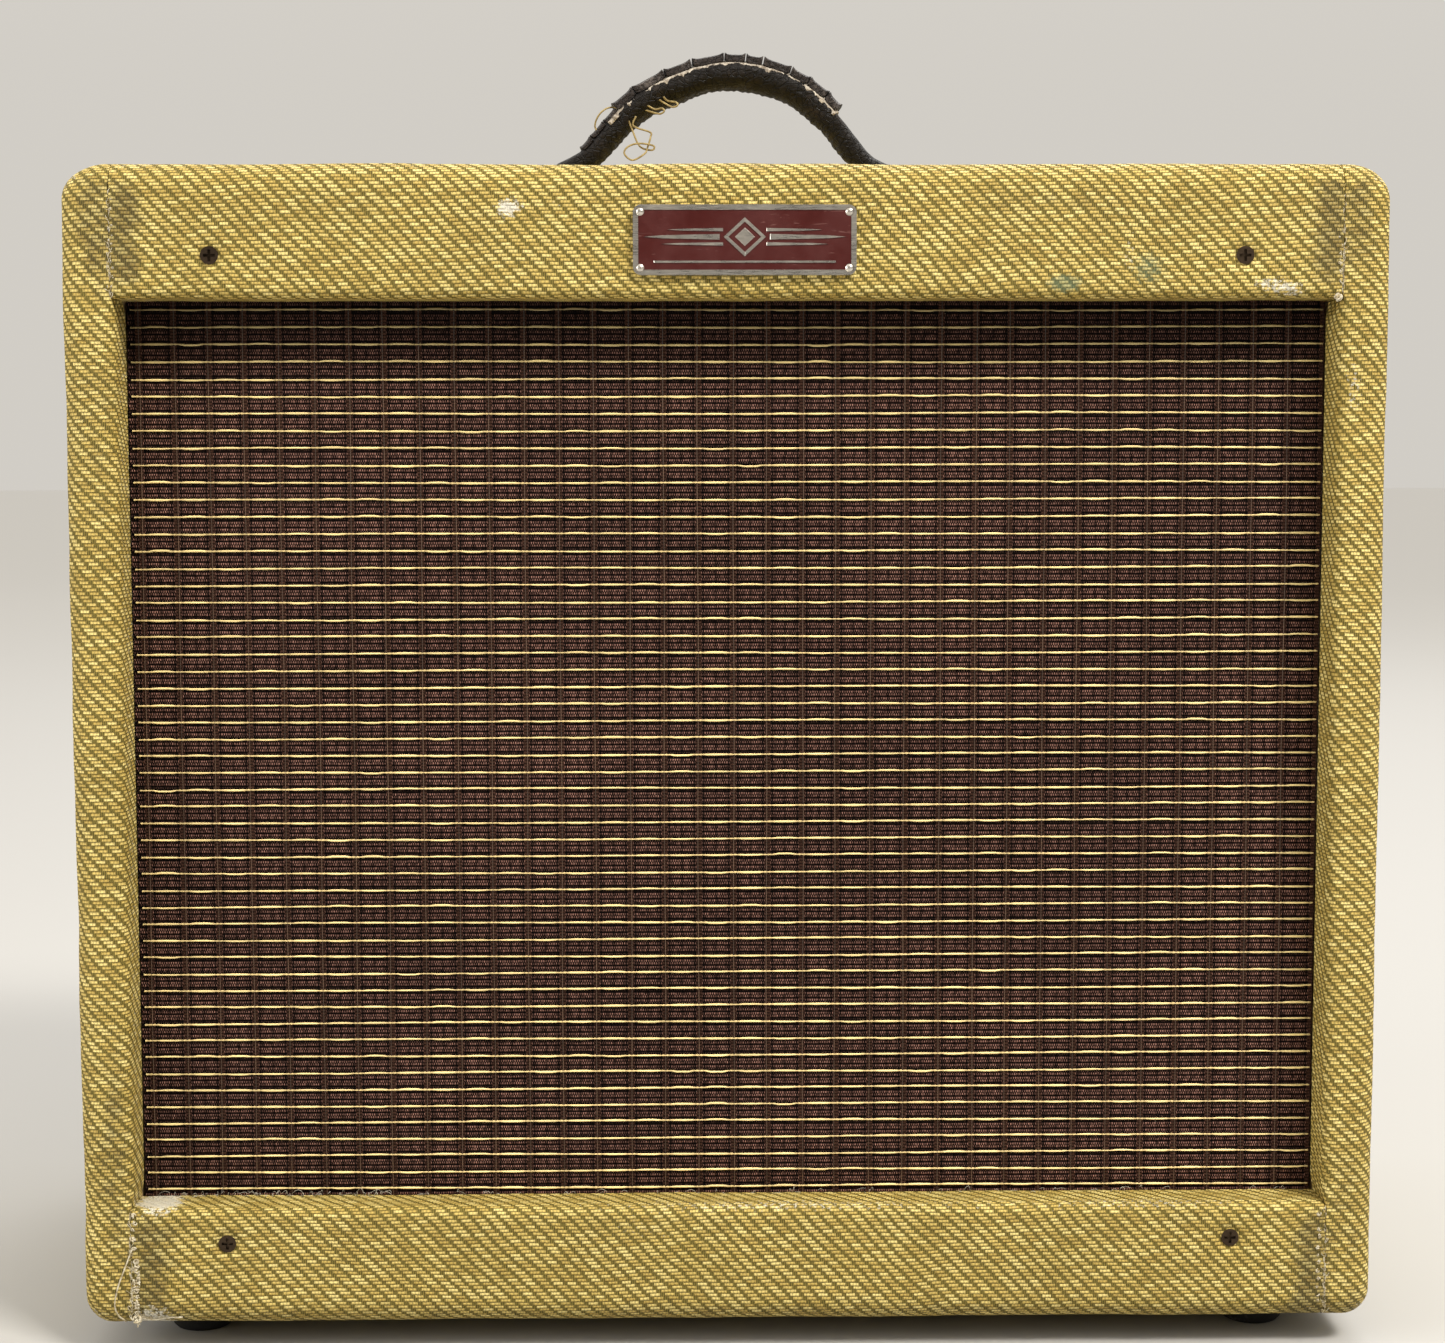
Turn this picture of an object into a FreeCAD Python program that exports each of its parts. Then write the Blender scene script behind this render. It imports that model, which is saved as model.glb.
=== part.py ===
import FreeCAD, Part
import math
import os

# A small open-backed valve combo amplifier: a fabric-covered pine cabinet with one
# twelve-inch loudspeaker, a chassis under the rear of the top and a leather handle.
# Millimetres. +Z up, +X to the right as seen from the front, the front faces -Y.
# The origin is on the floor under the middle of the whole object.

V = FreeCAD.Vector
X, Y, Z = V(1, 0, 0), V(0, 1, 0), V(0, 0, 1)

# ---- driving dimensions: cabinet ----
width, height, depth = 457.2, 406.4, 233.0  # the covered cabinet, without its feet
foot_height, foot_radius = 10.0, 12.5
board = 17.7  # thickness of the pine boards
tweed = 0.9  # thickness of the fabric covering
corner_top, corner_bottom = 14.0, 10.0  # outside corner radii seen from the front
front_round, rear_round = 9.0, 6.0  # radii along the front and rear edges
lip_round, rail_round = 4.0, 3.5  # inner front edges of the sides and of the rails
recess = 18.5  # from the front plane back to the grille cloth
top_rail_height, bottom_rail_height = 46.2, 42.6
cloth = 1.0
baffle = 12.0
badge_proud = 2.4

# ---- driving dimensions: fittings ----
badge_width, badge_height, badge_shift = 76.2, 23.8, 5.4
handle_back = 88.0  # from the front plane back to the middle of the handle
handle_width = 22.0
handle_hole = 90.0  # from the middle out to each handle screw
panel_front, panel_back = 161.0, 219.0  # the control panel, from the front plane
panel_half = 190.0
panel_sunk = 8.0  # control panel below the top of the cabinet
sheet_steel = 1.2
chassis_depth = 68.0
back_board = 6.0
upper_panel_height, lower_panel_height = 91.0, 110.5
speaker_radius = 154.0

# ---- places that follow from them ----
front = badge_proud - (depth + badge_proud) / 2
back = front + depth
base = foot_height
top = base + height
half = width / 2
inside = half - board - tweed  # covered inner face of each side
wood_face = inside + tweed  # bare inner face of each side
floor_z = base + tweed + board
ceiling_z = top - tweed - board
rail_top_z = base + bottom_rail_height
rail_low_z = top - top_rail_height
cloth_y = front + recess
baffle_y = cloth_y + cloth
baffle_back = baffle_y + baffle
speaker_z = (rail_top_z + rail_low_z) / 2
handle_y = front + handle_back
panel_y0, panel_y1 = front + panel_front, front + panel_back
panel_y = (panel_y0 + panel_y1) / 2
panel_z = top - panel_sunk
pan_top = panel_z - sheet_steel
pan_bottom = pan_top - chassis_depth
valve_y = panel_y

nodes = {}


# ---- helpers ----
def box(x0, x1, y0, y1, z0, z1):
    return Part.makeBox(x1 - x0, y1 - y0, z1 - z0, V(x0, y0, z0))


def rod(radius, start, direction, length):
    return Part.makeCylinder(radius, length, start, direction)


def tube(outer, inner, start, direction, length):
    return rod(outer, start, direction, length).cut(rod(inner, start, direction, length))


def joined(shapes):
    whole = shapes[0]
    for shape in shapes[1:]:
        whole = whole.fuse(shape)
    return whole.removeSplitter()


def without(shape, tools):
    for tool in tools:
        shape = shape.cut(tool)
    return shape


def group(shapes):
    return Part.makeCompound([solid for shape in shapes for solid in shape.Solids])


def edges_where(shape, test):
    return [edge for edge in shape.Edges if test(edge.BoundBox)]


def revolved_y(points):
    """A closed outline of (radius, y) points turned about the loudspeaker's axis."""
    wire = Part.makePolygon([V(r, y, speaker_z) for r, y in points + points[:1]])
    return Part.Face(wire).revolve(V(0, 0, speaker_z), Y, 360)


def revolved_z(points, x, y):
    """A closed outline of (radius, z) points turned about a vertical axis at x, y."""
    wire = Part.makePolygon([V(x + r, y, z) for r, z in points + points[:1]])
    return Part.Face(wire).revolve(V(x, y, 0), Z, 360)


def mirrored_x(shape):
    return shape.mirror(V(0, 0, 0), X)


def plate(x0, x1, z0, z1, y0, y1, corner):
    """A flat plate standing in the XZ plane with rounded corners."""
    solid = box(x0, x1, y0, y1, z0, z1)
    upright = edges_where(solid, lambda b: b.YLength > 0.9 * (y1 - y0) and b.XLength + b.ZLength < 0.01)
    return solid.makeFillet(corner, upright)


def screw(tip_side, head_at, head_radius, head_height, shank_radius, length):
    """A countersunk screw: head_at is the middle of its head's face, tip_side the way in."""
    cone = Part.makeCone(head_radius, shank_radius, head_height, head_at, tip_side)
    slot_length, slot_width, slot_depth = 1.3 * head_radius, 0.32 * head_radius, 0.5 * head_height
    across = tip_side.cross(X) if abs(tip_side.x) < 0.5 else tip_side.cross(Y)
    other = tip_side.cross(across)
    drive = []
    for along, beside in ((across, other), (other, across)):
        corner = head_at - along * (slot_length / 2) - beside * (slot_width / 2)
        blade = Part.makePolygon([
            corner,
            corner + along * slot_length,
            corner + along * slot_length + beside * slot_width,
            corner + beside * slot_width,
            corner,
        ])
        drive.append(Part.Face(blade).extrude(tip_side * slot_depth))
    shank = rod(shank_radius, head_at + tip_side * head_height, tip_side, length - head_height)
    return joined([cone, shank]).cut(drive[0]).cut(drive[1])


def screw_space(tip_side, head_at, head_radius, head_height, shank_radius, length):
    """What such a screw takes away from the pieces that it passes through."""
    cone = Part.makeCone(head_radius, shank_radius, head_height, head_at, tip_side)
    shank = rod(shank_radius, head_at + tip_side * head_height, tip_side, length - head_height)
    mouth = rod(head_radius, head_at - tip_side * 4, tip_side, 4)
    return joined([mouth, cone, shank])


# ---- cabinet ----
def envelope(inset):
    """The outside of the cabinet, every edge rounded, shrunk all round by inset."""
    solid = box(-half + inset, half - inset, front + inset, back - inset, base + inset, top - inset)
    middle = (base + top) / 2
    for is_top, radius in ((True, corner_top), (False, corner_bottom)):
        corners = edges_where(
            solid,
            lambda b: b.YLength > 0.9 * depth and b.XLength + b.ZLength < 0.01
            and (b.ZMin > middle) == is_top,
        )
        solid = solid.makeFillet(radius - inset, corners)
    for y, radius in ((front + inset, front_round), (back - inset, rear_round)):
        rim = edges_where(solid, lambda b: abs(b.YMin - y) < 0.01 and abs(b.YMax - y) < 0.01)
        solid = solid.makeFillet(radius - inset, rim)
    return solid


def lip_tool(inset):
    """Rounds the inner front edge of the left side."""
    centre_x, centre_y = -inside - lip_round, front + lip_round
    corner = box(centre_x, -inside + 5, front - 5, centre_y, base - 5, top + 5)
    return corner.cut(rod(lip_round - inset, V(centre_x, centre_y, base - 5), Z, height + 10))


def rail_outline(inset, rail_z, edge_z, board_z, sign):
    """The YZ outline of a horizontal board with its front rail hanging from it.

    edge_z is the board's outside, board_z its bare inside, rail_z the rail's free edge;
    sign is +1 for the top of the cabinet and -1 for the bottom.
    """
    front_y, rear_y = front + inset, back - inset
    outer_z, free_z = edge_z - sign * inset, rail_z + sign * inset
    big, small, rear = front_round - inset, rail_round - inset, rear_round - inset
    bend = math.sqrt(0.5)

    def arc(centre_y, centre_z, radius, start, end):
        middle_y = centre_y + radius * bend * (-1 if min(start[0], end[0]) < centre_y else 1)
        middle_z = centre_z + radius * bend * (-1 if min(start[1], end[1]) < centre_z else 1)
        points = [V(0, *start), V(0, middle_y, middle_z), V(0, *end)]
        return Part.Arc(*points).toShape()

    def line(start, end):
        return Part.LineSegment(V(0, *start), V(0, *end)).toShape()

    p = [
        (front_y, outer_z - sign * big), (front_y + big, outer_z),
        (rear_y - rear, outer_z), (rear_y, outer_z - sign * rear),
        (rear_y, board_z), (cloth_y, board_z),
        (cloth_y, free_z), (front_y + small, free_z),
        (front_y, free_z + sign * small),
    ]
    edges = [
        arc(front_y + big, outer_z - sign * big, big, p[0], p[1]),
        line(p[1], p[2]),
        arc(rear_y - rear, outer_z - sign * rear, rear, p[2], p[3]),
        line(p[3], p[4]), line(p[4], p[5]), line(p[5], p[6]), line(p[6], p[7]),
        arc(front_y + small, free_z + sign * small, small, p[7], p[8]),
        line(p[8], p[0]),
    ]
    return Part.Face(Part.Wire(edges))


def across(outline, reach):
    """Stretches a YZ outline sideways to +-reach."""
    solid = outline.extrude(V(2 * reach, 0, 0))
    solid.translate(V(-reach, 0, 0))
    return solid


def build_sides():
    beyond = inside + 5
    everything = dict(y0=front - 5, y1=back + 5, z0=base - 5, z1=top + 5)
    wood = envelope(tweed).common(box(-half - 5, -wood_face, **everything)).cut(lip_tool(tweed))
    skin = envelope(0).common(box(-half - 5, -inside, **everything)).cut(lip_tool(0))
    skin = skin.cut(wood)
    for y0, y1, z0, z1 in (
        (cloth_y, back + 5, base - 5, top + 5),
        (front - 5, cloth_y, rail_low_z, top + 5),
        (front - 5, cloth_y, base - 5, rail_top_z),
    ):
        skin = skin.cut(box(-wood_face, -inside + beyond, y0, y1, z0, z1))
    nodes["cabinet_side_left"] = wood
    nodes["cabinet_side_right"] = mirrored_x(wood)
    nodes["tweed_side_left"] = skin
    nodes["tweed_side_right"] = mirrored_x(skin)


def build_top_and_bottom():
    for name, rail_z, edge_z, board_z, sign in (
        ("top", rail_low_z, top, ceiling_z, 1),
        ("bottom", rail_top_z, base, floor_z, -1),
    ):
        covered = across(rail_outline(0, rail_z, edge_z, board_z, sign), inside)
        bare_wood = across(rail_outline(tweed, rail_z, edge_z, board_z, sign), wood_face)
        skin = covered.cut(bare_wood)
        low, high = sorted((board_z, board_z + sign * 60))
        slab = box(-half, half, front, back, low, high)
        nodes[f"cabinet_{name}_board"] = bare_wood.common(slab)
        nodes[f"front_{name}_rail"] = bare_wood.cut(slab)
        nodes[f"tweed_{name}"] = skin
    clearance = 1.5
    opening = box(
        -panel_half - clearance, panel_half + clearance,
        panel_y0 - clearance, panel_y1 + clearance, ceiling_z - 5, top + 5,
    )
    for name in ("cabinet_top_board", "tweed_top"):
        nodes[name] = nodes[name].cut(opening)


def build_baffle():
    side, low, high = inside - 0.5, floor_z + 2, ceiling_z - 2
    hole_radius = 140.0
    board_solid = box(-side, side, baffle_y, baffle_back, low, high)
    hole = rod(hole_radius, V(0, baffle_y - 1, speaker_z), Y, baffle + 2)
    nodes["baffle_board"] = board_solid.cut(hole)
    nodes["grille_cloth"] = box(-side, side, cloth_y, baffle_y, low, high)


def build_baffle_screws():
    """Four black screws through the rails hold the baffle from the front."""
    screw_x, sunk = 177.0, 0.25
    size = (3.1, 2.2, 1.9, baffle_back - front - 1)
    screws, spaces = [], []
    for z in (base + 30.3, base + 374.7):
        for x in (-screw_x, screw_x):
            at = V(x, front + sunk, z)
            screws.append(screw(Y, at, *size))
            spaces.append(screw_space(Y, at, *size))
    for name in ("tweed_top", "tweed_bottom", "front_top_rail", "front_bottom_rail",
                 "grille_cloth", "baffle_board"):
        nodes[name] = without(nodes[name], spaces)
    nodes["baffle_screws"] = group(screws)


def build_badge():
    """A nickel-rimmed enamel plate, pinned to the top rail a little right of centre."""
    rim, corner, base_thickness, rim_height, enamel = 1.8, 2.8, 1.4, 0.6, 0.4
    pin_radius, pin_inset = 1.45, 2.4
    middle_z = base + 379.7
    x0, x1 = badge_shift - badge_width / 2, badge_shift + badge_width / 2
    z0, z1 = middle_z - badge_height / 2, middle_z + badge_height / 2
    face_y = front - base_thickness
    blank = plate(x0, x1, z0, z1, face_y - rim_height, front, corner)
    field = plate(x0 + rim, x1 - rim, z0 + rim, z1 - rim, face_y - rim_height, face_y, corner - rim)
    enamel_plate = plate(x0 + rim, x1 - rim, z0 + rim, z1 - rim, face_y - enamel, face_y, corner - rim)
    pins, spaces = [], []
    sphere_radius = 1.9
    cap = front - badge_proud
    for x in (x0 + pin_inset, x1 - pin_inset):
        for z in (z0 + pin_inset, z1 - pin_inset):
            dome = Part.makeSphere(sphere_radius, V(x, cap + sphere_radius, z))
            dome = dome.common(rod(pin_radius, V(x, cap - 1, z), Y, 3))
            stem = rod(0.8, V(x, cap + 1.2, z), Y, 12)
            pins.append(joined([dome.common(rod(pin_radius, V(x, cap, z), Y, 1.4)), stem]))
            spaces.append(rod(pin_radius, V(x, cap - 1, z), Y, 2.4))
            spaces.append(rod(0.8, V(x, cap - 1, z), Y, 14.2))
    nodes["badge_plate"] = without(blank.cut(field), spaces)
    nodes["badge_enamel"] = without(enamel_plate, spaces)
    nodes["badge_pins"] = group(pins)
    for name in ("tweed_top", "front_top_rail", "cabinet_top_board"):
        nodes[name] = without(nodes[name], spaces)


def build_feet():
    inset_x, inset_y = 36.0, 34.0
    feet, screws = [], []
    for x in (-half + inset_x, half - inset_x):
        for y in (front + inset_y, back - inset_y):
            foot = revolved_z(
                [(2.2, 4.0), (5.5, 4.0), (5.5, 0), (foot_radius - 2.5, 0),
                 (foot_radius - 1.5, 1.0), (foot_radius, base), (2.2, base)], x, y)
            feet.append(foot)
            head = revolved_z([(0, 2.0), (4.2, 2.0), (4.2, 4.0), (2.2, 4.0), (2.2, 24.0), (0, 24.0)], x, y)
            screws.append(head)
    for name in ("tweed_bottom", "cabinet_bottom_board"):
        nodes[name] = without(nodes[name], screws)
    nodes["rubber_feet"] = group(feet)
    nodes["cabinet_screws"] = group(screws)


# ---- loudspeaker ----
flange_y = baffle_back + 1.5  # the frame's flange sits on a gasket on the baffle
basket_depth = 62.0
seat_y = flange_y + basket_depth  # where the magnet system begins
top_plate, magnet_thickness, back_plate = 6.0, 17.0, 6.0
plate_radius, magnet_radius = 60.0, 68.0
pole_radius, coil_inner, coil_outer, gap_radius = 18.2, 19.0, 19.6, 20.4
cone_rim, cone_neck = 128.0, 20.3
spider_y = seat_y - 18.0
coil_collar = 0.7  # how far the coil's collar under the cone stands out
body_gap = 0.4  # kept between the moving cone and the fixed pieces


def build_speaker_frame():
    sheet = 1.5
    ring_inner = 141.0
    shell = revolved_y([
        (speaker_radius, flange_y), (speaker_radius, flange_y + 3), (ring_inner + sheet, flange_y + 3),
        (ring_inner + sheet - 4, flange_y + 18), (66 + sheet, seat_y - 10), (66 + sheet, seat_y),
        (gap_radius + 4, seat_y), (gap_radius + 4, seat_y - sheet), (66, seat_y - sheet),
        (66, seat_y - 10 - sheet), (ring_inner - 4, flange_y + 18 - sheet), (ring_inner, flange_y),
    ])
    window_count, window_inner, window_outer = 8, 74.0, 126.0
    windows = []
    for k in range(window_count):
        angle = math.radians(360 * (k + 0.5) / window_count)
        half_turn = math.radians(15.5)
        outline = [
            V(r * math.cos(angle + a), flange_y, speaker_z + r * math.sin(angle + a))
            for r, a in ((window_inner, -half_turn), (window_outer, -half_turn),
                         (window_outer, half_turn), (window_inner, half_turn))
        ]
        windows.append(Part.Face(Part.makePolygon(outline + outline[:1])).extrude(V(0, basket_depth, 0)))
    shell = without(shell, windows)
    bolt_circle, bolt_count = 148.5, 8
    bolt_radius, head_radius, head_height = 2.2, 4.4, 3.0
    bolts, spaces = [], []
    for k in range(bolt_count):
        angle = math.radians(360 * (k + 0.5) / bolt_count)
        x, z = bolt_circle * math.cos(angle), speaker_z + bolt_circle * math.sin(angle)
        bolts.append(joined([
            rod(bolt_radius, V(x, baffle_y + 2, z), Y, flange_y + 3 - baffle_y - 2),
            rod(head_radius, V(x, flange_y + 3, z), Y, head_height),
        ]))
        spaces.append(rod(bolt_radius, V(x, baffle_y + 2, z), Y, 40))
    gasket = revolved_y([(speaker_radius, baffle_back), (speaker_radius, flange_y),
                         (ring_inner, flange_y), (ring_inner, baffle_back)])
    nodes["speaker_frame"] = without(shell, spaces)
    nodes["speaker_gasket"] = without(gasket, spaces)
    nodes["baffle_board"] = without(nodes["baffle_board"], spaces)
    nodes["speaker_screws"] = group(bolts)


def build_speaker_motor():
    magnet_y = seat_y + top_plate
    rear_y = magnet_y + magnet_thickness
    front_plate = revolved_y([(gap_radius, seat_y), (plate_radius, seat_y),
                              (plate_radius, magnet_y), (gap_radius, magnet_y)])
    rear = revolved_y([
        (0, seat_y), (pole_radius, seat_y), (pole_radius, rear_y), (plate_radius, rear_y),
        (plate_radius, rear_y + back_plate - 1), (plate_radius - 1, rear_y + back_plate),
        (0, rear_y + back_plate),
    ])
    nodes["speaker_magnet"] = revolved_y([(30, magnet_y), (magnet_radius - 1, magnet_y),
                                          (magnet_radius, magnet_y + 1), (magnet_radius, rear_y - 1),
                                          (magnet_radius - 1, rear_y), (30, rear_y)])
    nodes["speaker_pole_plates"] = group([front_plate, rear])


def build_speaker_cone():
    paper = 0.8
    neck_y, rim_y = seat_y - 22.0, flange_y + 4.0
    nodes["speaker_cone"] = revolved_y([
        (cone_neck, neck_y), (60, neck_y - 15.5), (cone_rim, rim_y), (cone_rim, rim_y + paper),
        (60, neck_y - 15.5 + 1.1), (cone_neck, neck_y + 1.3),
    ])
    cap_radius = 27.0
    cap_y = neck_y - 3.4
    nodes["dust_cap"] = revolved_y([
        (0, cap_y - 10), (9, cap_y - 9.2), (17, cap_y - 6.6), (23, cap_y - 2.8), (cap_radius, cap_y + 0.5),
        (cap_radius - 0.9, cap_y + 0.75), (22.4, cap_y - 2.0), (16.6, cap_y - 5.7), (8.8, cap_y - 8.3),
        (0, cap_y - 9.1),
    ])
    collar_radius, coil_end = coil_outer + coil_collar, seat_y + top_plate + 1
    nodes["voice_coil"] = revolved_y([
        (coil_inner, neck_y - 1), (collar_radius, neck_y - 1), (collar_radius, neck_y + 3),
        (coil_outer, neck_y + 3), (coil_outer, coil_end), (coil_inner, coil_end),
    ])
    inner, outer = cone_rim + body_gap, 139.2
    step = (outer - inner) / 6
    ridge = 2.4
    near = [(inner + step * k, rim_y - (ridge if k in (1, 2, 4, 5) else 0)) for k in range(7)]
    far = [(r, y + paper) for r, y in reversed(near)]
    nodes["speaker_surround"] = revolved_y(near + far)
    spider_inner, spider_outer, waves = collar_radius + 2.5 * body_gap, 58.0, 5
    pitch = (spider_outer - spider_inner) / (2 * waves)
    near = [(spider_inner + pitch * k, spider_y + (1.6 if k % 2 else 0)) for k in range(2 * waves + 1)]
    far = [(r, y + 0.7) for r, y in reversed(near)]
    nodes["speaker_spider"] = revolved_y(near + far)


def build_speaker_terminals():
    """A fibre strip with two solder tags on the side of the frame."""
    y, z = seat_y - 17, speaker_z - 82
    strip = box(-16, 16, y, y + 6, z - 9, z + 9).cut(nodes["speaker_frame"])
    strip = max(strip.Solids, key=lambda solid: solid.Volume)
    tags = [box(x - 3, x + 3, y + 6, y + 6.8, z - 16, z + 5) for x in (-9, 9)]
    nodes["speaker_terminals"] = group([strip] + tags)


# ---- chassis and controls ----
knob_names = ("volume", "treble", "bass", "middle", "master", "reverb")
knob_x = (-125.0, -71.0, -29.0, 13.0, 55.0, 97.0)
button_x, jack_x, jewel_x, toggle_x = -98.0, -162.0, 138.0, 167.0
jack_bore, jack_below_x = 3.25, -34.0  # quarter-inch jacks
shaft_radius, bushing_radius, pot_radius = 3.0, 4.6, 12.0
nut_thickness = 2.2
button_radius, button_travel = 4.0, 2.5
toggle_lean = 12.0
hex_side = 6.4


def hexagon(x, y, z, side, thickness):
    outline = [V(x + side * math.cos(math.radians(60 * k)), y + side * math.sin(math.radians(60 * k)), z)
               for k in range(7)]
    return Part.Face(Part.makePolygon(outline)).extrude(V(0, 0, thickness))


def build_chassis():
    x0, x1 = -panel_half, panel_half
    s = sheet_steel
    pan = box(x0, x1, panel_y0, panel_y1, pan_bottom, pan_top)
    pan = pan.cut(box(x0 + s, x1 - s, panel_y0 + s, panel_y1 - s, pan_bottom + s, pan_top + 1))
    ear, ear_y0, ear_y1 = 14.0, panel_y0 + 6, panel_y0 + 42
    ears, screws, spaces = [], [], []
    for sign in (-1, 1):
        outer, inner = sign * (panel_half + ear), sign * panel_half
        low, high = sorted((outer, inner))
        tab = box(low, high, ear_y0, ear_y1, ceiling_z - s, ceiling_z)
        ears.append(tab)
        for y in (ear_y0 + 8, ear_y1 - 8):
            at = V(sign * (panel_half + ear / 2 + 1), y, ceiling_z - s)
            screws.append(joined([rod(3.6, at - Z * 2.6, Z, 2.6), rod(1.9, at, Z, 14)]))
            spaces.append(rod(1.9, at - Z, Z, 15))
    nodes["chassis_pan"] = without(joined([pan] + ears), spaces)
    nodes["cabinet_top_board"] = without(nodes["cabinet_top_board"], spaces)
    nodes["cabinet_screws"] = group([nodes["cabinet_screws"]] + screws)
    nodes["control_panel"] = box(x0, x1, panel_y0, panel_y1, pan_top, panel_z)


def pan_hole(radius, x, z0, z1):
    return rod(radius, V(x, panel_y, z0), Z, z1 - z0)


def build_controls():
    """Potentiometers and switches hang under the panel; their nuts sit on top of it."""
    nut_z = panel_z
    holes, bodies, nuts = [], [], []
    for x in knob_x:
        can = pan_hole(pot_radius, x, pan_top - 12, pan_top - 2)
        collar = pan_hole(bushing_radius, x, pan_top - 2, nut_z + nut_thickness + 1)
        bore = pan_hole(shaft_radius + 0.05, x, pan_top - 9, nut_z + 20)
        bodies.append(joined([can, collar]).cut(bore))
        holes.append(pan_hole(bushing_radius, x, pan_top - 1, nut_z + 1))
        ring = hexagon(x, panel_y, nut_z, hex_side, nut_thickness)
        nuts.append(ring.cut(pan_hole(bushing_radius, x, nut_z - 1, nut_z + 5)))

    # the boost push switch: a collar round the button's stem
    collar_radius = button_radius + 1.8
    collar = pan_hole(collar_radius, button_x, pan_top - 20, nut_z + 3.0)
    well = pan_hole(button_radius + 0.3, button_x, pan_top - 14, nut_z + 5)
    bodies.append(collar.cut(well))
    holes.append(pan_hole(collar_radius, button_x, pan_top - 1, nut_z + 1))
    stem_low = pan_top - 14 + button_travel + 0.5
    cap_z = nut_z + 3.0 + button_travel + 0.5
    stem = pan_hole(button_radius, button_x, stem_low, cap_z)
    cap = revolved_z([(0, cap_z), (button_radius + 1.0, cap_z), (button_radius + 1.0, cap_z + 2.0),
                      (button_radius, cap_z + 3.2), (0, cap_z + 3.2)], button_x, panel_y)
    nodes["boost_button"] = joined([stem, cap])

    # the power toggle: a bat lever whose ball sits in a bushed socket
    pivot_z = nut_z + 3.0
    socket = pan_hole(5.9, toggle_x, pan_top - 24, pan_top - 2)
    neck = pan_hole(5.9, toggle_x, pan_top - 2, nut_z + 6.0)
    cavity = pan_hole(3.3, toggle_x, pivot_z - 8.0, nut_z + 8)
    bodies.append(joined([socket, neck]).cut(cavity))
    holes.append(pan_hole(5.9, toggle_x, pan_top - 1, nut_z + 1))
    ring = hexagon(toggle_x, panel_y, nut_z, 8.4, nut_thickness)
    nuts.append(ring.cut(pan_hole(5.9, toggle_x, nut_z - 1, nut_z + 5)))
    pivot = V(toggle_x, panel_y, pivot_z)
    ball = Part.makeSphere(2.6, pivot)
    bat = Part.makeCone(1.5, 2.7, 15.5, pivot, Z)
    tip = Part.makeSphere(2.72, pivot + Z * 15.5)
    lever = joined([ball, bat, tip])
    lever.rotate(pivot, X, toggle_lean)
    nodes["power_toggle"] = lever

    # the pilot light: a bezel holds a faceted jewel over the panel
    bezel = pan_hole(9.0, jewel_x, nut_z, nut_z + 3.5).cut(pan_hole(6.6, jewel_x, nut_z - 1, nut_z + 5))
    nuts.append(bezel)
    nodes["pilot_jewel"] = build_jewel(nut_z)
    bodies.append(pan_hole(6.6, jewel_x, pan_top - 22, nut_z))
    holes.append(pan_hole(6.6, jewel_x, pan_top - 1, nut_z + 1))

    # the input jack: a threaded sleeve with a dished nut
    sleeve = pan_hole(5.5, jack_x, pan_top - 22, nut_z + 3.4)
    flange = pan_hole(10.0, jack_x, pan_top - 26, pan_top - 4)
    bore = pan_hole(jack_bore, jack_x, pan_top - 24, nut_z + 6)
    nut = hexagon(jack_x, panel_y, nut_z, 8.4, 2.6).cut(pan_hole(5.5, jack_x, nut_z - 1, nut_z + 5))
    nodes["input_jack"] = group([joined([sleeve, flange]).cut(bore), nut])
    holes.append(pan_hole(5.5, jack_x, pan_top - 1, nut_z + 1))

    nodes["control_panel"] = without(nodes["control_panel"], holes)
    nodes["control_bodies"] = group(bodies)
    nodes["panel_nuts"] = group(nuts)


def build_jewel(z):
    """A domed jewel cut with two rings of eight facets."""
    rings = ((6.5, 0.0), (6.5, 3.2), (4.9, 6.2), (2.3, 7.8))
    sides = 8
    faces = []
    loops = []
    for radius, rise in rings:
        loops.append([V(jewel_x + radius * math.cos(math.radians(360 * k / sides)),
                        panel_y + radius * math.sin(math.radians(360 * k / sides)), z + rise)
                      for k in range(sides)])
    for low, high in zip(loops, loops[1:]):
        for k in range(sides):
            n = (k + 1) % sides
            faces.append(Part.Face(Part.makePolygon([low[k], low[n], high[n], high[k], low[k]])))
    for loop in (loops[0], loops[-1]):
        faces.append(Part.Face(Part.makePolygon(loop + loop[:1])))
    return Part.makeSolid(Part.makeShell(faces))


def build_knobs():
    """Pointer knobs: a round skirt under a tapering finger grip."""
    skirt_radius, skirt_height, grip_height = 10.5, 4.5, 11.5
    tip, tail, grip_half = 16.5, 9.5, 4.6
    low = panel_z + nut_thickness + 1.8
    for name, x in zip(knob_names, knob_x):
        skirt = Part.makeCone(skirt_radius, skirt_radius - 0.8, skirt_height, V(x, panel_y, low), Z)

        def at(along, beside):
            return V(x + beside, panel_y - along, low + 1)

        side = [
            Part.LineSegment(at(tip, 0.7), at(2, grip_half)).toShape(),
            Part.LineSegment(at(2, grip_half), at(-tail + 3, grip_half)).toShape(),
            Part.Arc(at(-tail + 3, grip_half), at(-tail, 0), at(-tail + 3, -grip_half)).toShape(),
            Part.LineSegment(at(-tail + 3, -grip_half), at(2, -grip_half)).toShape(),
            Part.LineSegment(at(2, -grip_half), at(tip, -0.7)).toShape(),
            Part.Arc(at(tip, -0.7), at(tip + 0.6, 0), at(tip, 0.7)).toShape(),
        ]
        grip = Part.Face(Part.Wire(side)).extrude(V(0, 0, skirt_height + grip_height - 1))
        head = joined([skirt, grip])
        crown = edges_where(head, lambda b: b.ZMin > low + skirt_height + grip_height - 0.01)
        head = head.makeFillet(0.6, crown)
        shaft_top = low + skirt_height + 6
        shaft = pan_hole(shaft_radius, x, pan_top - 8, shaft_top)
        nodes[f"knob_{name}"] = group([head.cut(shaft), shaft])


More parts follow.
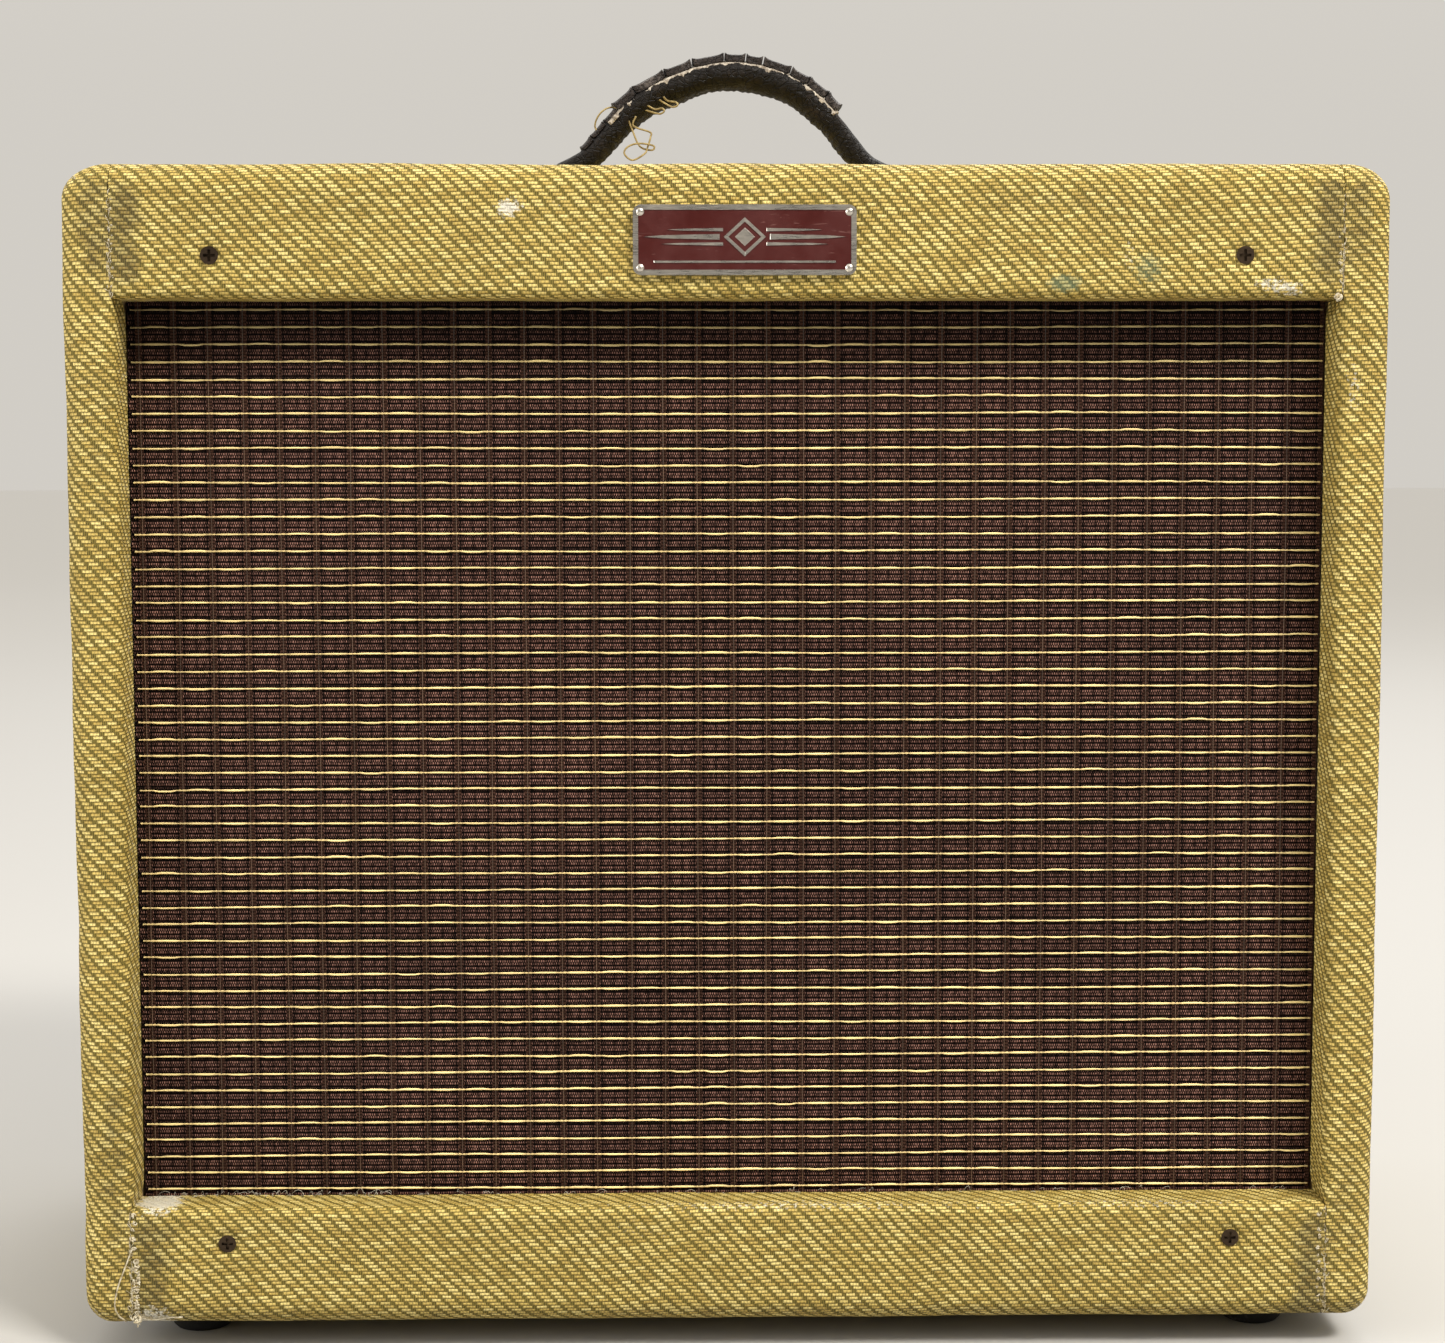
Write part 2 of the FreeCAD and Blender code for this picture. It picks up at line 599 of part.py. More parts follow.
def build_circuit_board():
    """The main board lies on the pan's floor with its tall capacitors and parts."""
    z = pan_bottom + sheet_steel + 6
    posts_x = (-143, -60, 80, 143)
    board_solid = box(-150, 150, panel_y0 + 6, panel_y1 - 6, z, z + 1.6)
    parts = [board_solid]
    for x in posts_x:
        for y in (panel_y0 + 11, panel_y1 - 11):
            parts.append(rod(2.5, V(x, y, z - 6), Z, 6))
    for k in range(4):
        parts.append(rod(8.0, V(-128 + 20 * k, panel_y + 10, z + 1.6), Z, 26))
    for k in range(12):
        x = -8 + 12.5 * k
        parts.append(box(x - 5, x + 5, panel_y + 3, panel_y + 8, z + 1.6, z + 10))
        parts.append(box(x - 4, x + 4, panel_y - 12, panel_y - 9, z + 1.6, z + 4.5))
    nodes["circuit_board"] = group(parts)


# ---- below the chassis ----
valve_radius = 11.0
power_valve_x, preamp_valve_x = (-92.0, -58.0), (-10.0, 30.0, 70.0)
power_valve_length, preamp_valve_length = 68.0, 46.0
socket_height = 7.0


def valve(x, length):
    """A glass bottle hanging crown down: domed at its lower end with a small pip."""
    z = pan_bottom - socket_height
    crown = z - length
    r, wall = valve_radius, 1.0
    outer = [(0, z), (r, z), (r, crown + 7), (r - 1.8, crown + 2.6), (r - 5.5, crown),
             (2.2, crown - 0.6), (1.2, crown - 4.5), (0, crown - 5)]
    inner = [(0, crown + wall), (r - 5.5, crown + wall), (r - 2.6, crown + 3.4),
             (r - wall, crown + 7.4), (r - wall, z - 3), (0, z - 3)]
    return revolved_z(outer, x, valve_y).cut(revolved_z(inner, x, valve_y))


def build_valves():
    nodes["power_valves"] = group([valve(x, power_valve_length) for x in power_valve_x])
    nodes["preamp_valves"] = group([valve(x, preamp_valve_length) for x in preamp_valve_x])
    sockets = []
    low = pan_bottom - socket_height
    for x in power_valve_x + preamp_valve_x:
        ring = tube(valve_radius + 3.2, valve_radius + 0.3, V(x, valve_y, low - 4), Z, 4)
        puck = rod(valve_radius + 3.2, V(x, valve_y, low), Z, socket_height)
        sockets.append(joined([ring, puck]))
    nodes["valve_sockets"] = group(sockets)


def transformer(x, core_x, core_y, core_z, coil_y):
    """Laminations with the winding standing out on both sides, and four flange feet."""
    z = pan_bottom
    core = box(x - core_x / 2, x + core_x / 2, valve_y - core_y / 2, valve_y + core_y / 2, z - core_z, z)
    coil = box(x - core_x * 0.32, x + core_x * 0.32, valve_y - coil_y / 2, valve_y + coil_y / 2,
               z - core_z * 0.86, z - core_z * 0.14)
    rounded = edges_where(coil, lambda b: b.ZLength > 5 and b.XLength + b.YLength < 0.01)
    coil = coil.makeFillet(5, rounded)
    foot_reach, foot_thick = core_x / 2 + 7, 1.5
    foot = box(x - foot_reach, x + foot_reach, valve_y - core_y / 2, valve_y + core_y / 2, z - foot_thick, z)
    return group([joined([core, foot]).cut(coil), coil])


def build_transformers():
    nodes["power_transformer"] = transformer(-148.0, 66.0, 32.0, 58.0, 54.0)
    nodes["output_transformer"] = transformer(117.0, 50.0, 24.0, 44.0, 42.0)


def build_sockets_below():
    """The mains inlet, fuse holder and two jacks face down from the chassis floor."""
    z = pan_bottom
    inlet_x, inlet_depth = 172.0, 19.0
    shell = box(inlet_x - 15, inlet_x + 15, valve_y - 12, valve_y + 12, z - 4, z)
    throat = box(inlet_x - 13.5, inlet_x + 13.5, valve_y - 10.5, valve_y + 10.5, z, z + inlet_depth)
    cavity = box(inlet_x - 12, inlet_x + 12, valve_y - 8.5, valve_y + 8.5, z - 5, z + inlet_depth - 3)
    blades = []
    for pitch, offset in ((-7, 4), (0, 1), (7, 4)):
        x, y = inlet_x + pitch, valve_y + offset
        blades.append(box(x - 1, x + 1, y - 2.2, y + 2.2, z + 1, z + inlet_depth - 3))
    nodes["mains_inlet"] = group([joined([shell, throat]).cut(cavity)] + blades)
    spaces = [throat]

    jacks = []
    for y in (valve_y - 15, valve_y + 15):
        at = V(jack_below_x, y, z)
        sleeve = joined([rod(5.5, at - Z * 5, Z, 7), rod(8.0, at + Z * sheet_steel, Z, 18)])
        nut = hexagon(at.x, at.y, z - 2.6, 8.4, 2.6).cut(rod(5.5, at - Z * 5, Z, 6))
        bore = rod(jack_bore, at - Z * 6, Z, 22)
        jacks += [sleeve.cut(bore), nut]
        spaces += [rod(5.5, at - Z, Z, 4), rod(8.5, at + Z * sheet_steel, Z, 20)]

    at = V(50.0, valve_y + 19, z)
    barrel = rod(5.5, at, Z, 20)
    fuse = joined([barrel, rod(7.0, at - Z * 4, Z, 4), rod(5.6, at - Z * 12, Z, 8)])
    nodes["chassis_fittings"] = group(jacks + [fuse])
    spaces += [barrel, rod(6.5, at + Z * sheet_steel, Z, 20)]
    for name in ("chassis_pan", "circuit_board"):
        nodes[name] = without(nodes[name], spaces)


def build_back():
    side = wood_face - 1.2
    y1 = back - 3.0
    y0 = y1 - back_board
    spans = {
        "upper_back_panel": (ceiling_z - 0.8 - upper_panel_height, ceiling_z - 0.8),
        "lower_back_panel": (floor_z + 0.8, floor_z + 0.8 + lower_panel_height),
    }
    cleats, screws, spaces = [], [], []
    cleat = 18.0
    for name, (z0, z1) in spans.items():
        nodes[name] = plate(-side, side, z0, z1, y0, y1, 1.5)
        for sign in (-1, 1):
            low, high = sorted((sign * wood_face, sign * (wood_face - cleat)))
            cleats.append(box(low, high, y0 - cleat, y0, z0, z1))
            for z in (z0 + 16, z1 - 16):
                at = V(sign * (wood_face - cleat / 2), y1 + 1.2, z)
                washer = Part.makeCone(6.2, 4.4, 1.2, at - Y * 1.2, Y)
                size = (3.6, 2.4, 1.9, 22.0)
                screws.append(joined([washer.cut(screw_space(-Y, at, *size)), screw(-Y, at, *size)]))
                spaces.append(screw_space(-Y, at, *size))
    nodes["panel_cleats"] = without(group(cleats), spaces)
    for name in spans:
        nodes[name] = without(nodes[name], spaces)
    nodes["back_panel_screws"] = group(screws)


def build_reverb_tank():
    """A shallow steel tray on the cabinet floor with a spring frame inside."""
    x0, x1, y0, z0 = -118.0, 118.0, -6.0, floor_z
    y1, z1 = y0 + 108.0, z0 + 33.0
    wall = 1.2
    outer = box(x0, x1, y0, y1, z0, z1)
    hollow = box(x0 + wall, x1 - wall, y0 + wall, y1 - wall, z0 + wall, z1 - wall)
    sockets = [rod(4.2, V(x, y1, z0 + 17), Y, 6) for x in (x0 + 16, x1 - 16)]
    ears = [box(low, high, y0 + 30, y0 + 60, z0, z0 + wall) for low, high in ((x0 - 12, x0), (x1, x1 + 12))]
    nodes["reverb_tank"] = group([joined([outer.cut(hollow)] + ears)] + sockets)


# ---- handle ----
handle_line = [(-57.5, 8.4), (-51.2, 13.2), (-36.8, 28.4), (-21.2, 38.0), (1.0, 43.8),
               (22.4, 39.6), (39.4, 27.2), (50.6, 13.2), (56.0, 8.2)]  # x and height above the top
grip_thick, leg_thick, leg_width = 13.0, 9.4, 17.0
strip_thick, strip_width = 1.2, 11.0
tongue_thick, tongue_width, tongue_end, tongue_bend = 3.8, 20.0, 102.0, 78.0


def handle_point(curve, t, lift):
    """A point lifted off the grip's middle line at t, from 0 at the left to 1 at the right."""
    u = curve.FirstParameter + (curve.LastParameter - curve.FirstParameter) * t
    normal = curve.tangent(u)[0].cross(Y)
    return curve.value(u) + normal * lift, normal


def build_handle():
    """A padded leather grip arched over a steel strip, with flat tongues at its ends."""
    curve = Part.BSplineCurve()
    curve.interpolate([V(x, handle_y, top + h) for x, h in handle_line])
    stations = 12
    rings = []
    for k in range(stations + 1):
        t = k / stations
        swell = max(0.0, math.sin(math.pi * t)) ** 0.7
        centre, normal = handle_point(curve, t, 0)
        a = (leg_thick + (grip_thick - leg_thick) * swell) / 2
        b = (leg_width + (handle_width - leg_width) * swell) / 2
        rings.append(Part.Wire(Part.Ellipse(centre + Y * b, centre + normal * a, centre).toShape()))
    grip = Part.makeLoft(rings, True, False)

    reach = [0.04 + 0.92 * k / stations for k in range(stations + 1)]
    faces = []
    for lift in (-strip_thick / 2, strip_thick / 2):
        edge = Part.BSplineCurve()
        edge.interpolate([handle_point(curve, t, lift)[0] for t in reach])
        faces.append(edge)
    low, high = faces
    outline = Part.Wire([
        low.toShape(), Part.LineSegment(low.EndPoint, high.EndPoint).toShape(),
        high.toShape(), Part.LineSegment(high.StartPoint, low.StartPoint).toShape(),
    ])
    strip = Part.Face(outline).extrude(Y * strip_width)
    strip.translate(Y * (-strip_width / 2))
    nodes["handle_grip"] = grip.cut(strip)
    nodes["handle_core"] = strip

    tongues, screws, spaces = [], [], []
    gap = 0.6
    for t, sign in ((0, -1), (1, 1)):
        centre, normal = handle_point(curve, t, 0)
        outward = V(normal.z, 0, -normal.x) * sign
        reach_over = leg_thick / 2 - 0.4
        upper = centre + outward * gap + normal * reach_over
        lower = centre + outward * gap - normal * reach_over
        points = [
            V(sign * tongue_end, handle_y, top), V(sign * tongue_bend, handle_y, top), lower, upper,
            V(sign * (tongue_bend + 2), handle_y, top + tongue_thick),
            V(sign * tongue_end, handle_y, top + tongue_thick),
        ]
        tongue = Part.Face(Part.makePolygon(points + points[:1])).extrude(Y * tongue_width)
        tongue.translate(Y * (-tongue_width / 2))
        round_x = sign * (tongue_end - tongue_width / 2)
        low_x, high_x = sorted((0, round_x))
        inner = box(low_x, high_x, handle_y - tongue_width, handle_y + tongue_width, top, top + 30)
        tongue = tongue.common(joined([inner, rod(tongue_width / 2, V(round_x, handle_y, top), Z, 30)]))
        at = V(sign * handle_hole, handle_y, top + tongue_thick + 1.6)
        size = (4.2, 2.6, 2.4, board + tongue_thick + 8)
        washer = Part.makeCone(7.5, 5.4, 1.6, at - Z * 1.6, Z).cut(screw_space(-Z, at, *size))
        nut = hexagon(at.x, at.y, ceiling_z - 3.2, 4.6, 3.2).cut(screw_space(-Z, at, *size))
        screws += [washer, nut, screw(-Z, at, *size)]
        spaces.append(screw_space(-Z, at, *size))
        tongues.append(tongue)
    nodes["handle_tongues"] = without(group(tongues), spaces)
    nodes["handle_screws"] = group(screws)
    for name in ("tweed_top", "cabinet_top_board"):
        nodes[name] = without(nodes[name], spaces)


build_sides()
build_top_and_bottom()
build_baffle()
build_baffle_screws()
build_badge()
build_feet()
build_speaker_frame()
build_speaker_motor()
build_speaker_cone()
build_speaker_terminals()
build_chassis()
build_controls()
build_knobs()
build_circuit_board()
build_valves()
build_transformers()
build_sockets_below()
build_back()
build_reverb_tank()
build_handle()

os.makedirs("parts", exist_ok=True)
for name, shape in nodes.items():
    shape.exportStep(f"parts/{name}.step")
    print(name, len(shape.Solids), shape.isValid(), round(shape.Volume))
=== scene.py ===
import math

import bmesh
import bpy
import numpy as np
from mathutils import Matrix, Vector


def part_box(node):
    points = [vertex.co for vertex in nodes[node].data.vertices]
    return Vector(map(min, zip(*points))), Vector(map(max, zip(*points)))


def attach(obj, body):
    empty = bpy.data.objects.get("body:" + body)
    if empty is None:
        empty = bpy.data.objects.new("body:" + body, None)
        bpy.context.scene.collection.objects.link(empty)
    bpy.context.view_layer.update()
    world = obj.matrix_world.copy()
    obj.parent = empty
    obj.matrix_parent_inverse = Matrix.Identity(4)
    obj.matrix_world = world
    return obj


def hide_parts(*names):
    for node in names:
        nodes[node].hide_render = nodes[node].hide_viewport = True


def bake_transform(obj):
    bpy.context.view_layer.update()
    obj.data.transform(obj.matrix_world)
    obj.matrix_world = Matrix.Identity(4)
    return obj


# The looks of a worn, tweed-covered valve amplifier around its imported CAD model.
# Lengths below are in millimetres in the frame's axes; to_mesh() turns them into metres.

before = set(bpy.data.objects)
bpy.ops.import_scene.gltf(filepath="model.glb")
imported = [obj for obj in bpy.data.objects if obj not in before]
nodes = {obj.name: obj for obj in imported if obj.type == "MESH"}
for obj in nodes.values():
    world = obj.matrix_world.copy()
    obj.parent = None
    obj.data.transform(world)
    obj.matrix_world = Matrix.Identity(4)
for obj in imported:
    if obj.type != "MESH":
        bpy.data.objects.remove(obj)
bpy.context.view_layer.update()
scene = bpy.context.scene


def box_mm(node):
    low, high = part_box(node)
    return [x * 1000 for x in low], [x * 1000 for x in high]


# ---- places, from the CAD model ----
top_low, top_high = box_mm("tweed_top")
bottom_low, bottom_high = box_mm("tweed_bottom")
front, back = top_low[1], top_high[1]
base, top = bottom_low[2], top_high[2]
half = -box_mm("tweed_side_left")[0][0]
rail_low_z, rail_top_z = top_low[2], bottom_high[2]
cloth_low, cloth_high = box_mm("grille_cloth")
cloth_y = cloth_low[1]
inside = top_high[0]
wood_face = box_mm("front_top_rail")[1][0]
ceiling_z = box_mm("cabinet_top_board")[0][2]
floor_z = box_mm("cabinet_bottom_board")[1][2]
panel_low, panel_high = box_mm("control_panel")
handle_y = sum(box_mm("handle_grip")[i][1] for i in (0, 1)) / 2
screw_x, low_screw_z, high_screw_z = 177.0, base + 30.3, base + 374.7
screw_spots = [(x, z) for x in (-screw_x, screw_x) for z in (low_screw_z, high_screw_z)]
front_round, rear_round, rail_round = 9.0, 6.0, 3.5
seam_gap = 0.03  # the cloths' edges lie this far to each side of the seam
slot_lip = 1.5  # the top cloth stops this far outside the control panel
around_screw = np.linspace(-6, 6, 17)  # closer points, for the dip at a screw head


# ---- mesh helpers ----
def to_mesh(name, points, faces, material, uvs=None, smooth=True, layers=None):
    """A mesh object from points in mm. uvs holds one (u, v) per face corner."""
    mesh = bpy.data.meshes.new(name)
    mesh.from_pydata((np.asarray(points, float) * 0.001).tolist(), [], faces)
    if uvs is not None:
        mesh.uv_layers.new(name="UVMap").data.foreach_set("uv", np.asarray(uvs, np.float32).ravel())
    mesh.materials.append(material)
    mesh.polygons.foreach_set("use_smooth", [smooth] * len(mesh.polygons))
    for layer, values in (layers or {}).items():
        attribute = mesh.attributes.new(layer, "FLOAT", "POINT")
        attribute.data.foreach_set("value", np.asarray(values, np.float32))
    mesh.update()
    made = bpy.data.objects.new(name, mesh)
    scene.collection.objects.link(made)
    return made


def add_piece(name, points, faces, material, slot, body="root", **more):
    """A visible piece that rides one body, or none; its slot argument is not used."""
    made = to_mesh(name, points, faces, material, **more)
    if body:
        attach(made, body)
    return made


def grid_faces(rows, columns, start=0, flip=False):
    """Quads of a rows x columns grid of points stored row by row."""
    faces = []
    for i in range(rows - 1):
        for j in range(columns - 1):
            a = start + i * columns + j
            quad = (a, a + 1, a + columns + 1, a + columns)
            faces.append(quad[::-1] if flip else quad)
    return faces


def tube_faces(rings, count, start=0, flip=False):
    """Quads between neighbouring closed rings of count points, stored ring by ring."""
    faces = []
    for a in range(start, start + (rings - 1) * count, count):
        for k in range(count):
            n = (k + 1) % count
            quad = (a + k, a + n, a + count + n, a + count + k)
            faces.append(quad[:1] + quad[:0:-1] if flip else quad)
    return faces


def end_faces(rings, count, start=0):
    """The two faces that close a tube's first and last rings."""
    last = start + (rings - 1) * count
    return [tuple(range(start, start + count))[::-1], tuple(range(last, last + count))]


def smoothstep(low, high, x):
    t = np.clip((np.asarray(x, float) - low) / (high - low), 0, 1)
    return t * t * (3 - 2 * t)


def waves(p, seed, wavelength, count=7):
    """Smooth random undulation, about -1 to 1, of points p in mm."""
    rng = np.random.default_rng(seed)
    total = np.zeros(len(p))
    for _ in range(count):
        way = rng.normal(size=3)
        way /= np.linalg.norm(way)
        step = 2 * math.pi / (wavelength * rng.uniform(0.7, 1.5))
        total += np.sin(p @ way * step + rng.uniform(0, 6.3))
    return total / math.sqrt(count) / 1.4


def blob(p, centre, radii):
    """1 at the centre of a soft ellipsoid, falling to 0."""
    d = (p - np.array(centre)) / np.array(radii)
    return np.exp(-(d * d).sum(1))


def bell(x, middle, width):
    """1 at the middle of a soft band, falling to 0."""
    return np.exp(-((x - middle) / width) ** 2)


# ---- material helper ----
class Shade:
    """A node material in the making; each call adds one node and gives its output."""

    def __init__(self, name, **values):
        self.material = bpy.data.materials.new(name)
        self.material.use_nodes = True
        self.tree = self.material.node_tree
        self.tree.nodes.clear()
        self.surface = self.tree.nodes.new("ShaderNodeBsdfPrincipled")
        self.output = self.tree.nodes.new("ShaderNodeOutputMaterial")
        self.tree.links.new(self.surface.outputs[0], self.output.inputs[0])
        for key, value in values.items():
            self.set(key.replace("_", " "), value)

    def put(self, socket, value):
        if isinstance(value, bpy.types.NodeSocket):
            self.tree.links.new(value, socket)
        elif isinstance(value, tuple) and len(value) == 3 and len(socket.default_value) == 4:
            socket.default_value = (*value, 1.0)
        else:
            socket.default_value = value

    def set(self, name, value):
        names = {s.name.lower(): s for s in self.surface.inputs}
        self.put(names[name.lower()], value)

    def node(self, kind, **settings):
        made = self.tree.nodes.new(kind)
        for key, value in settings.items():
            setattr(made, key, value)
        return made

    def math(self, operation, a, b=0.0, c=0.0):
        made = self.node("ShaderNodeMath", operation=operation)
        for socket, value in zip(made.inputs, (a, b, c)):
            self.put(socket, value)
        return made.outputs[0]

    def add(self, a, b):
        return self.math("ADD", a, b)

    def sub(self, a, b):
        return self.math("SUBTRACT", a, b)

    def mul(self, a, b):
        return self.math("MULTIPLY", a, b)

    def linear(self, x, slope, offset):
        """slope * x + offset."""
        return self.math("MULTIPLY_ADD", x, slope, offset)

    def ridge(self, x):
        """1 in the middle of each unit cell of x and 0 at its edges, as across a round thread."""
        centred = self.linear(self.math("FRACT", x), 2.0, -1.0)
        return self.sub(1.0, self.mul(centred, centred))

    def span(self, x, low, high, to_low=0.0, to_high=1.0):
        made = self.node("ShaderNodeMapRange", interpolation_type="SMOOTHSTEP")
        for socket, value in zip(made.inputs, (x, low, high, to_low, to_high)):
            self.put(socket, value)
        return made.outputs[0]

    def gap(self, x, pitch):
        """Distance from the nearest whole number of x, in units of pitch to each whole number."""
        off_middle = self.math("ABSOLUTE", self.sub(self.math("FRACT", x), 0.5))
        return self.mul(self.sub(0.5, off_middle), pitch)

    def coords(self, kind="Object"):
        return self.node("ShaderNodeTexCoord").outputs[kind]

    def split(self, vector):
        made = self.node("ShaderNodeSeparateXYZ")
        self.put(made.inputs[0], vector)
        return made.outputs[0], made.outputs[1], made.outputs[2]

    def join(self, x=0.0, y=0.0, z=0.0):
        made = self.node("ShaderNodeCombineXYZ")
        for socket, value in zip(made.inputs, (x, y, z)):
            self.put(socket, value)
        return made.outputs[0]

    def stretch(self, vector, x, y, z):
        made = self.node("ShaderNodeMapping")
        self.put(made.inputs["Vector"], vector)
        made.inputs["Scale"].default_value = (x, y, z)
        return made.outputs[0]

    def noise(self, vector, scale, detail=2.0, roughness=0.5, distortion=0.0):
        made = self.node("ShaderNodeTexNoise")
        self.put(made.inputs["Vector"], vector)
        made.inputs["Scale"].default_value = scale
        made.inputs["Detail"].default_value = detail
        made.inputs["Roughness"].default_value = roughness
        made.inputs["Distortion"].default_value = distortion
        return made.outputs[0]

    def cells(self, vector, scale, feature="F1"):
        made = self.node("ShaderNodeTexVoronoi", feature=feature)
        self.put(made.inputs["Vector"], vector)
        made.inputs["Scale"].default_value = scale
        return made.outputs[0]

    def chance(self, x, y=0.0):
        made = self.node("ShaderNodeTexWhiteNoise", noise_dimensions="2D")
        self.put(made.inputs["Vector"], self.join(x, y, 0.0))
        return made.outputs[0]

    def mix(self, amount, a, b, blend_type="MIX"):
        made = self.node("ShaderNodeMix", data_type="RGBA", blend_type=blend_type)
        for index, value in ((0, amount), (6, a), (7, b)):
            self.put(made.inputs[index], value)
        return made.outputs[2]

    def scale_colour(self, colour, amount):
        made = self.node("ShaderNodeVectorMath", operation="SCALE")
        self.put(made.inputs[0], colour)
        self.put(made.inputs["Scale"], amount)
        return made.outputs[0]

    def faded(self, colour, x, low, high, to_low, to_high):
        return self.scale_colour(colour, self.span(x, low, high, to_low, to_high))

    def ramp(self, amount, *stops):
        made = self.node("ShaderNodeValToRGB")
        self.put(made.inputs[0], amount)
        elements = made.color_ramp.elements
        while len(elements) < len(stops):
            elements.new(0.5)
        for element, (place, colour) in zip(elements, stops):
            element.position = place
            element.color = (*colour, 1.0)
        return made.outputs[0]

    def layer(self, name):
        return self.node("ShaderNodeAttribute", attribute_name=name).outputs["Fac"]

    def bump(self, height, distance, strength=1.0):
        made = self.node("ShaderNodeBump")
        made.inputs["Strength"].default_value = strength
        made.inputs["Distance"].default_value = distance
        self.put(made.inputs["Height"], height)
        self.put(self.surface.inputs["Normal"], made.outputs[0])

    def finish(self, colour, roughness, height, distance, strength):
        """Sets the surface's colour, roughness and relief, and gives the material."""
        self.set("Base Color", colour)
        self.set("Roughness", roughness)
        self.bump(height, distance, strength)
        return self.material


# ---- tweed ----
weave_row, weave_period, weave_shift, dash_share = 1.25, 4.92, 1.245, 0.75


def tweed_material(name, flat=False):
    """Yellow dashes in rows, each row a quarter period on from the one above it.

    The pattern reads UVs that hold millimetres of cloth, or X and Z on a flat CAD panel.
    """
    s = Shade(name, Specular_IOR_Level=0.2)
    if flat:
        x, _, z = s.split(s.coords())
        u, v = s.mul(x, 1000.0), s.mul(z, 1000.0)
        cloth = s.join(u, v, 0.0)
    else:
        cloth = s.coords("UV")
        u, v, _ = s.split(cloth)
    slow, quick = s.noise(cloth, 0.022, 1.0), s.noise(cloth, 0.3, 1.0)
    slow_v = s.noise(s.stretch(cloth, 1.0, -1.0, 1.0), 0.018, 1.0)
    u = s.add(u, s.linear(slow, 5.0, s.mul(quick, 0.7)))
    v = s.add(v, s.linear(slow_v, 4.0, s.mul(quick, 0.35)))
    line = s.mul(v, -1.0 / weave_row)
    row, across = s.math("FLOOR", line), s.math("SQRT", s.ridge(line))
    along = s.linear(row, -weave_shift / weave_period, s.mul(u, 1.0 / weave_period))
    along = s.add(along, s.mul(s.chance(row, 3.0), 0.06))
    cell, t = s.math("FLOOR", along), s.math("FRACT", along)
    edge = s.math("MINIMUM", t, s.sub(dash_share, t))
    dash = s.span(edge, 0.0, 0.09)
    stroke = s.ridge(s.mul(u, 1.0 / 0.62))
    height = s.math("MAXIMUM", s.mul(dash, across), s.mul(stroke, 0.3))
    lot = s.chance(cell, row)
    fibre = s.noise(s.stretch(cloth, 0.7, 6.0, 1.0), 1.0, 2.0)
    light = s.ramp(lot, (0.0, (0.47, 0.33, 0.080)), (0.5, (0.64, 0.475, 0.135)),
                   (1.0, (0.82, 0.66, 0.245)))
    light = s.scale_colour(light, s.linear(fibre, 0.5, 0.72))
    # painted shading: each dash is painted lighter along its middle and darker towards its edges, as light
    # falls on a round yarn
    light = s.scale_colour(light, s.linear(across, 0.70, 0.32))
    lumps = s.ridge(s.linear(row, 0.37, s.mul(u, 1.0 / 1.24)))
    speck = s.noise(cloth, 1.5, 2.0, 0.7)
    light = s.scale_colour(light, s.add(s.linear(lumps, 0.45, 0.45), s.mul(speck, 0.5)))
    dark = s.mix(stroke, (0.036, 0.027, 0.004), (0.235, 0.180, 0.040))
    colour = s.mix(s.mul(dash, s.span(across, 0.15, 0.75)), dark, light)
    tone = s.noise(cloth, 0.03, 3.0, 0.6)
    colour = s.scale_colour(colour, s.linear(tone, 0.34, 0.82))
    grime = s.noise(cloth, 0.16, 3.0, 0.65)
    if not flat:
        dirt = s.span(s.add(s.layer("dirt"), s.linear(grime, 1.5, -0.75)), 0.15, 0.95)
        soiled = s.mix(1.0, s.mix(0.25, colour, (0.20, 0.17, 0.11)), (0.55, 0.545, 0.51), "MULTIPLY")
        colour = s.mix(s.mul(dirt, 0.9), colour, soiled)
        fuzz = s.noise(cloth, 0.75, 3.0, 0.7)
        # the wear layer holds real wear and painted highlights, both painted towards a pale cream
        wear_and_painted_highlight = s.span(s.add(s.layer("wear_and_painted_highlight"), s.linear(fuzz, 1.6, -0.8)), 0.42, 0.72)
        colour = s.mix(s.mul(wear_and_painted_highlight, 0.85), colour, (0.78, 0.74, 0.62))
        green = s.span(s.add(s.layer("stain"), s.linear(fuzz, 1.0, -0.5)), 0.3, 0.7)
        colour = s.mix(s.mul(green, 0.6), colour, (0.10, 0.16, 0.10))
    return s.finish(colour,
                    s.span(height, 0.0, 1.0, 0.85, 0.52),
                    s.add(s.add(height, s.mul(fibre, 0.12)), s.mul(s.mul(lumps, dash), 0.25)), 0.0006, 0.9)


tweed = tweed_material("tweed")
tweed_flat = tweed_material("tweed_panels", flat=True)


# soft patches on the front: amount, x, depth behind the front, z, radii
dirt_patches = [
    (0.55, -216, 0, base + 60, (7, 30, 45)), (0.4, 218, 0, base + 40, (7, 30, 40)),
]
wear_and_highlight_patches = [
    (0.95, -75.2, 0, base + 390.6, (4.6, 20, 3.6)), (0.62, 186, 2, rail_low_z + 4.5, (9, 20, 3.4)),
    (0.45, 194, 0, rail_low_z + 2, (5, 20, 3)), (0.42, 137, 0, base + 376, (3, 20, 14)),
    (0.35, -60, 0, base + 392, (10, 20, 2)), (0.70, -204, 0, base + 4, (9, 20, 5)),
    # the long thin strips along the bottom rail's top edge, at x 20 and x 150, are a painted highlight where
    # that edge catches light from above; the other patches are wear
    (0.5, -202, 3, rail_top_z, (8, 20, 4)), (0.34, 20, 2, rail_top_z, (70, 6, 2.4)),
    (0.3, 150, 2, rail_top_z, (50, 6, 2.4)), (0.45, 215, 0, base + 330, (4, 20, 16)),
    (0.35, -30, 2, base + 34, (22, 8, 5)),
]
stain_patches = [
    (0.95, 115, 0, rail_low_z + 5, (7, 20, 3.5)), (0.62, 144, 0, base + 370, (8, 20, 8)),
]


def patches(p, table):
    return sum(amount * blob(p, (x, front + deep, z), radii) for amount, x, deep, z, radii in table)


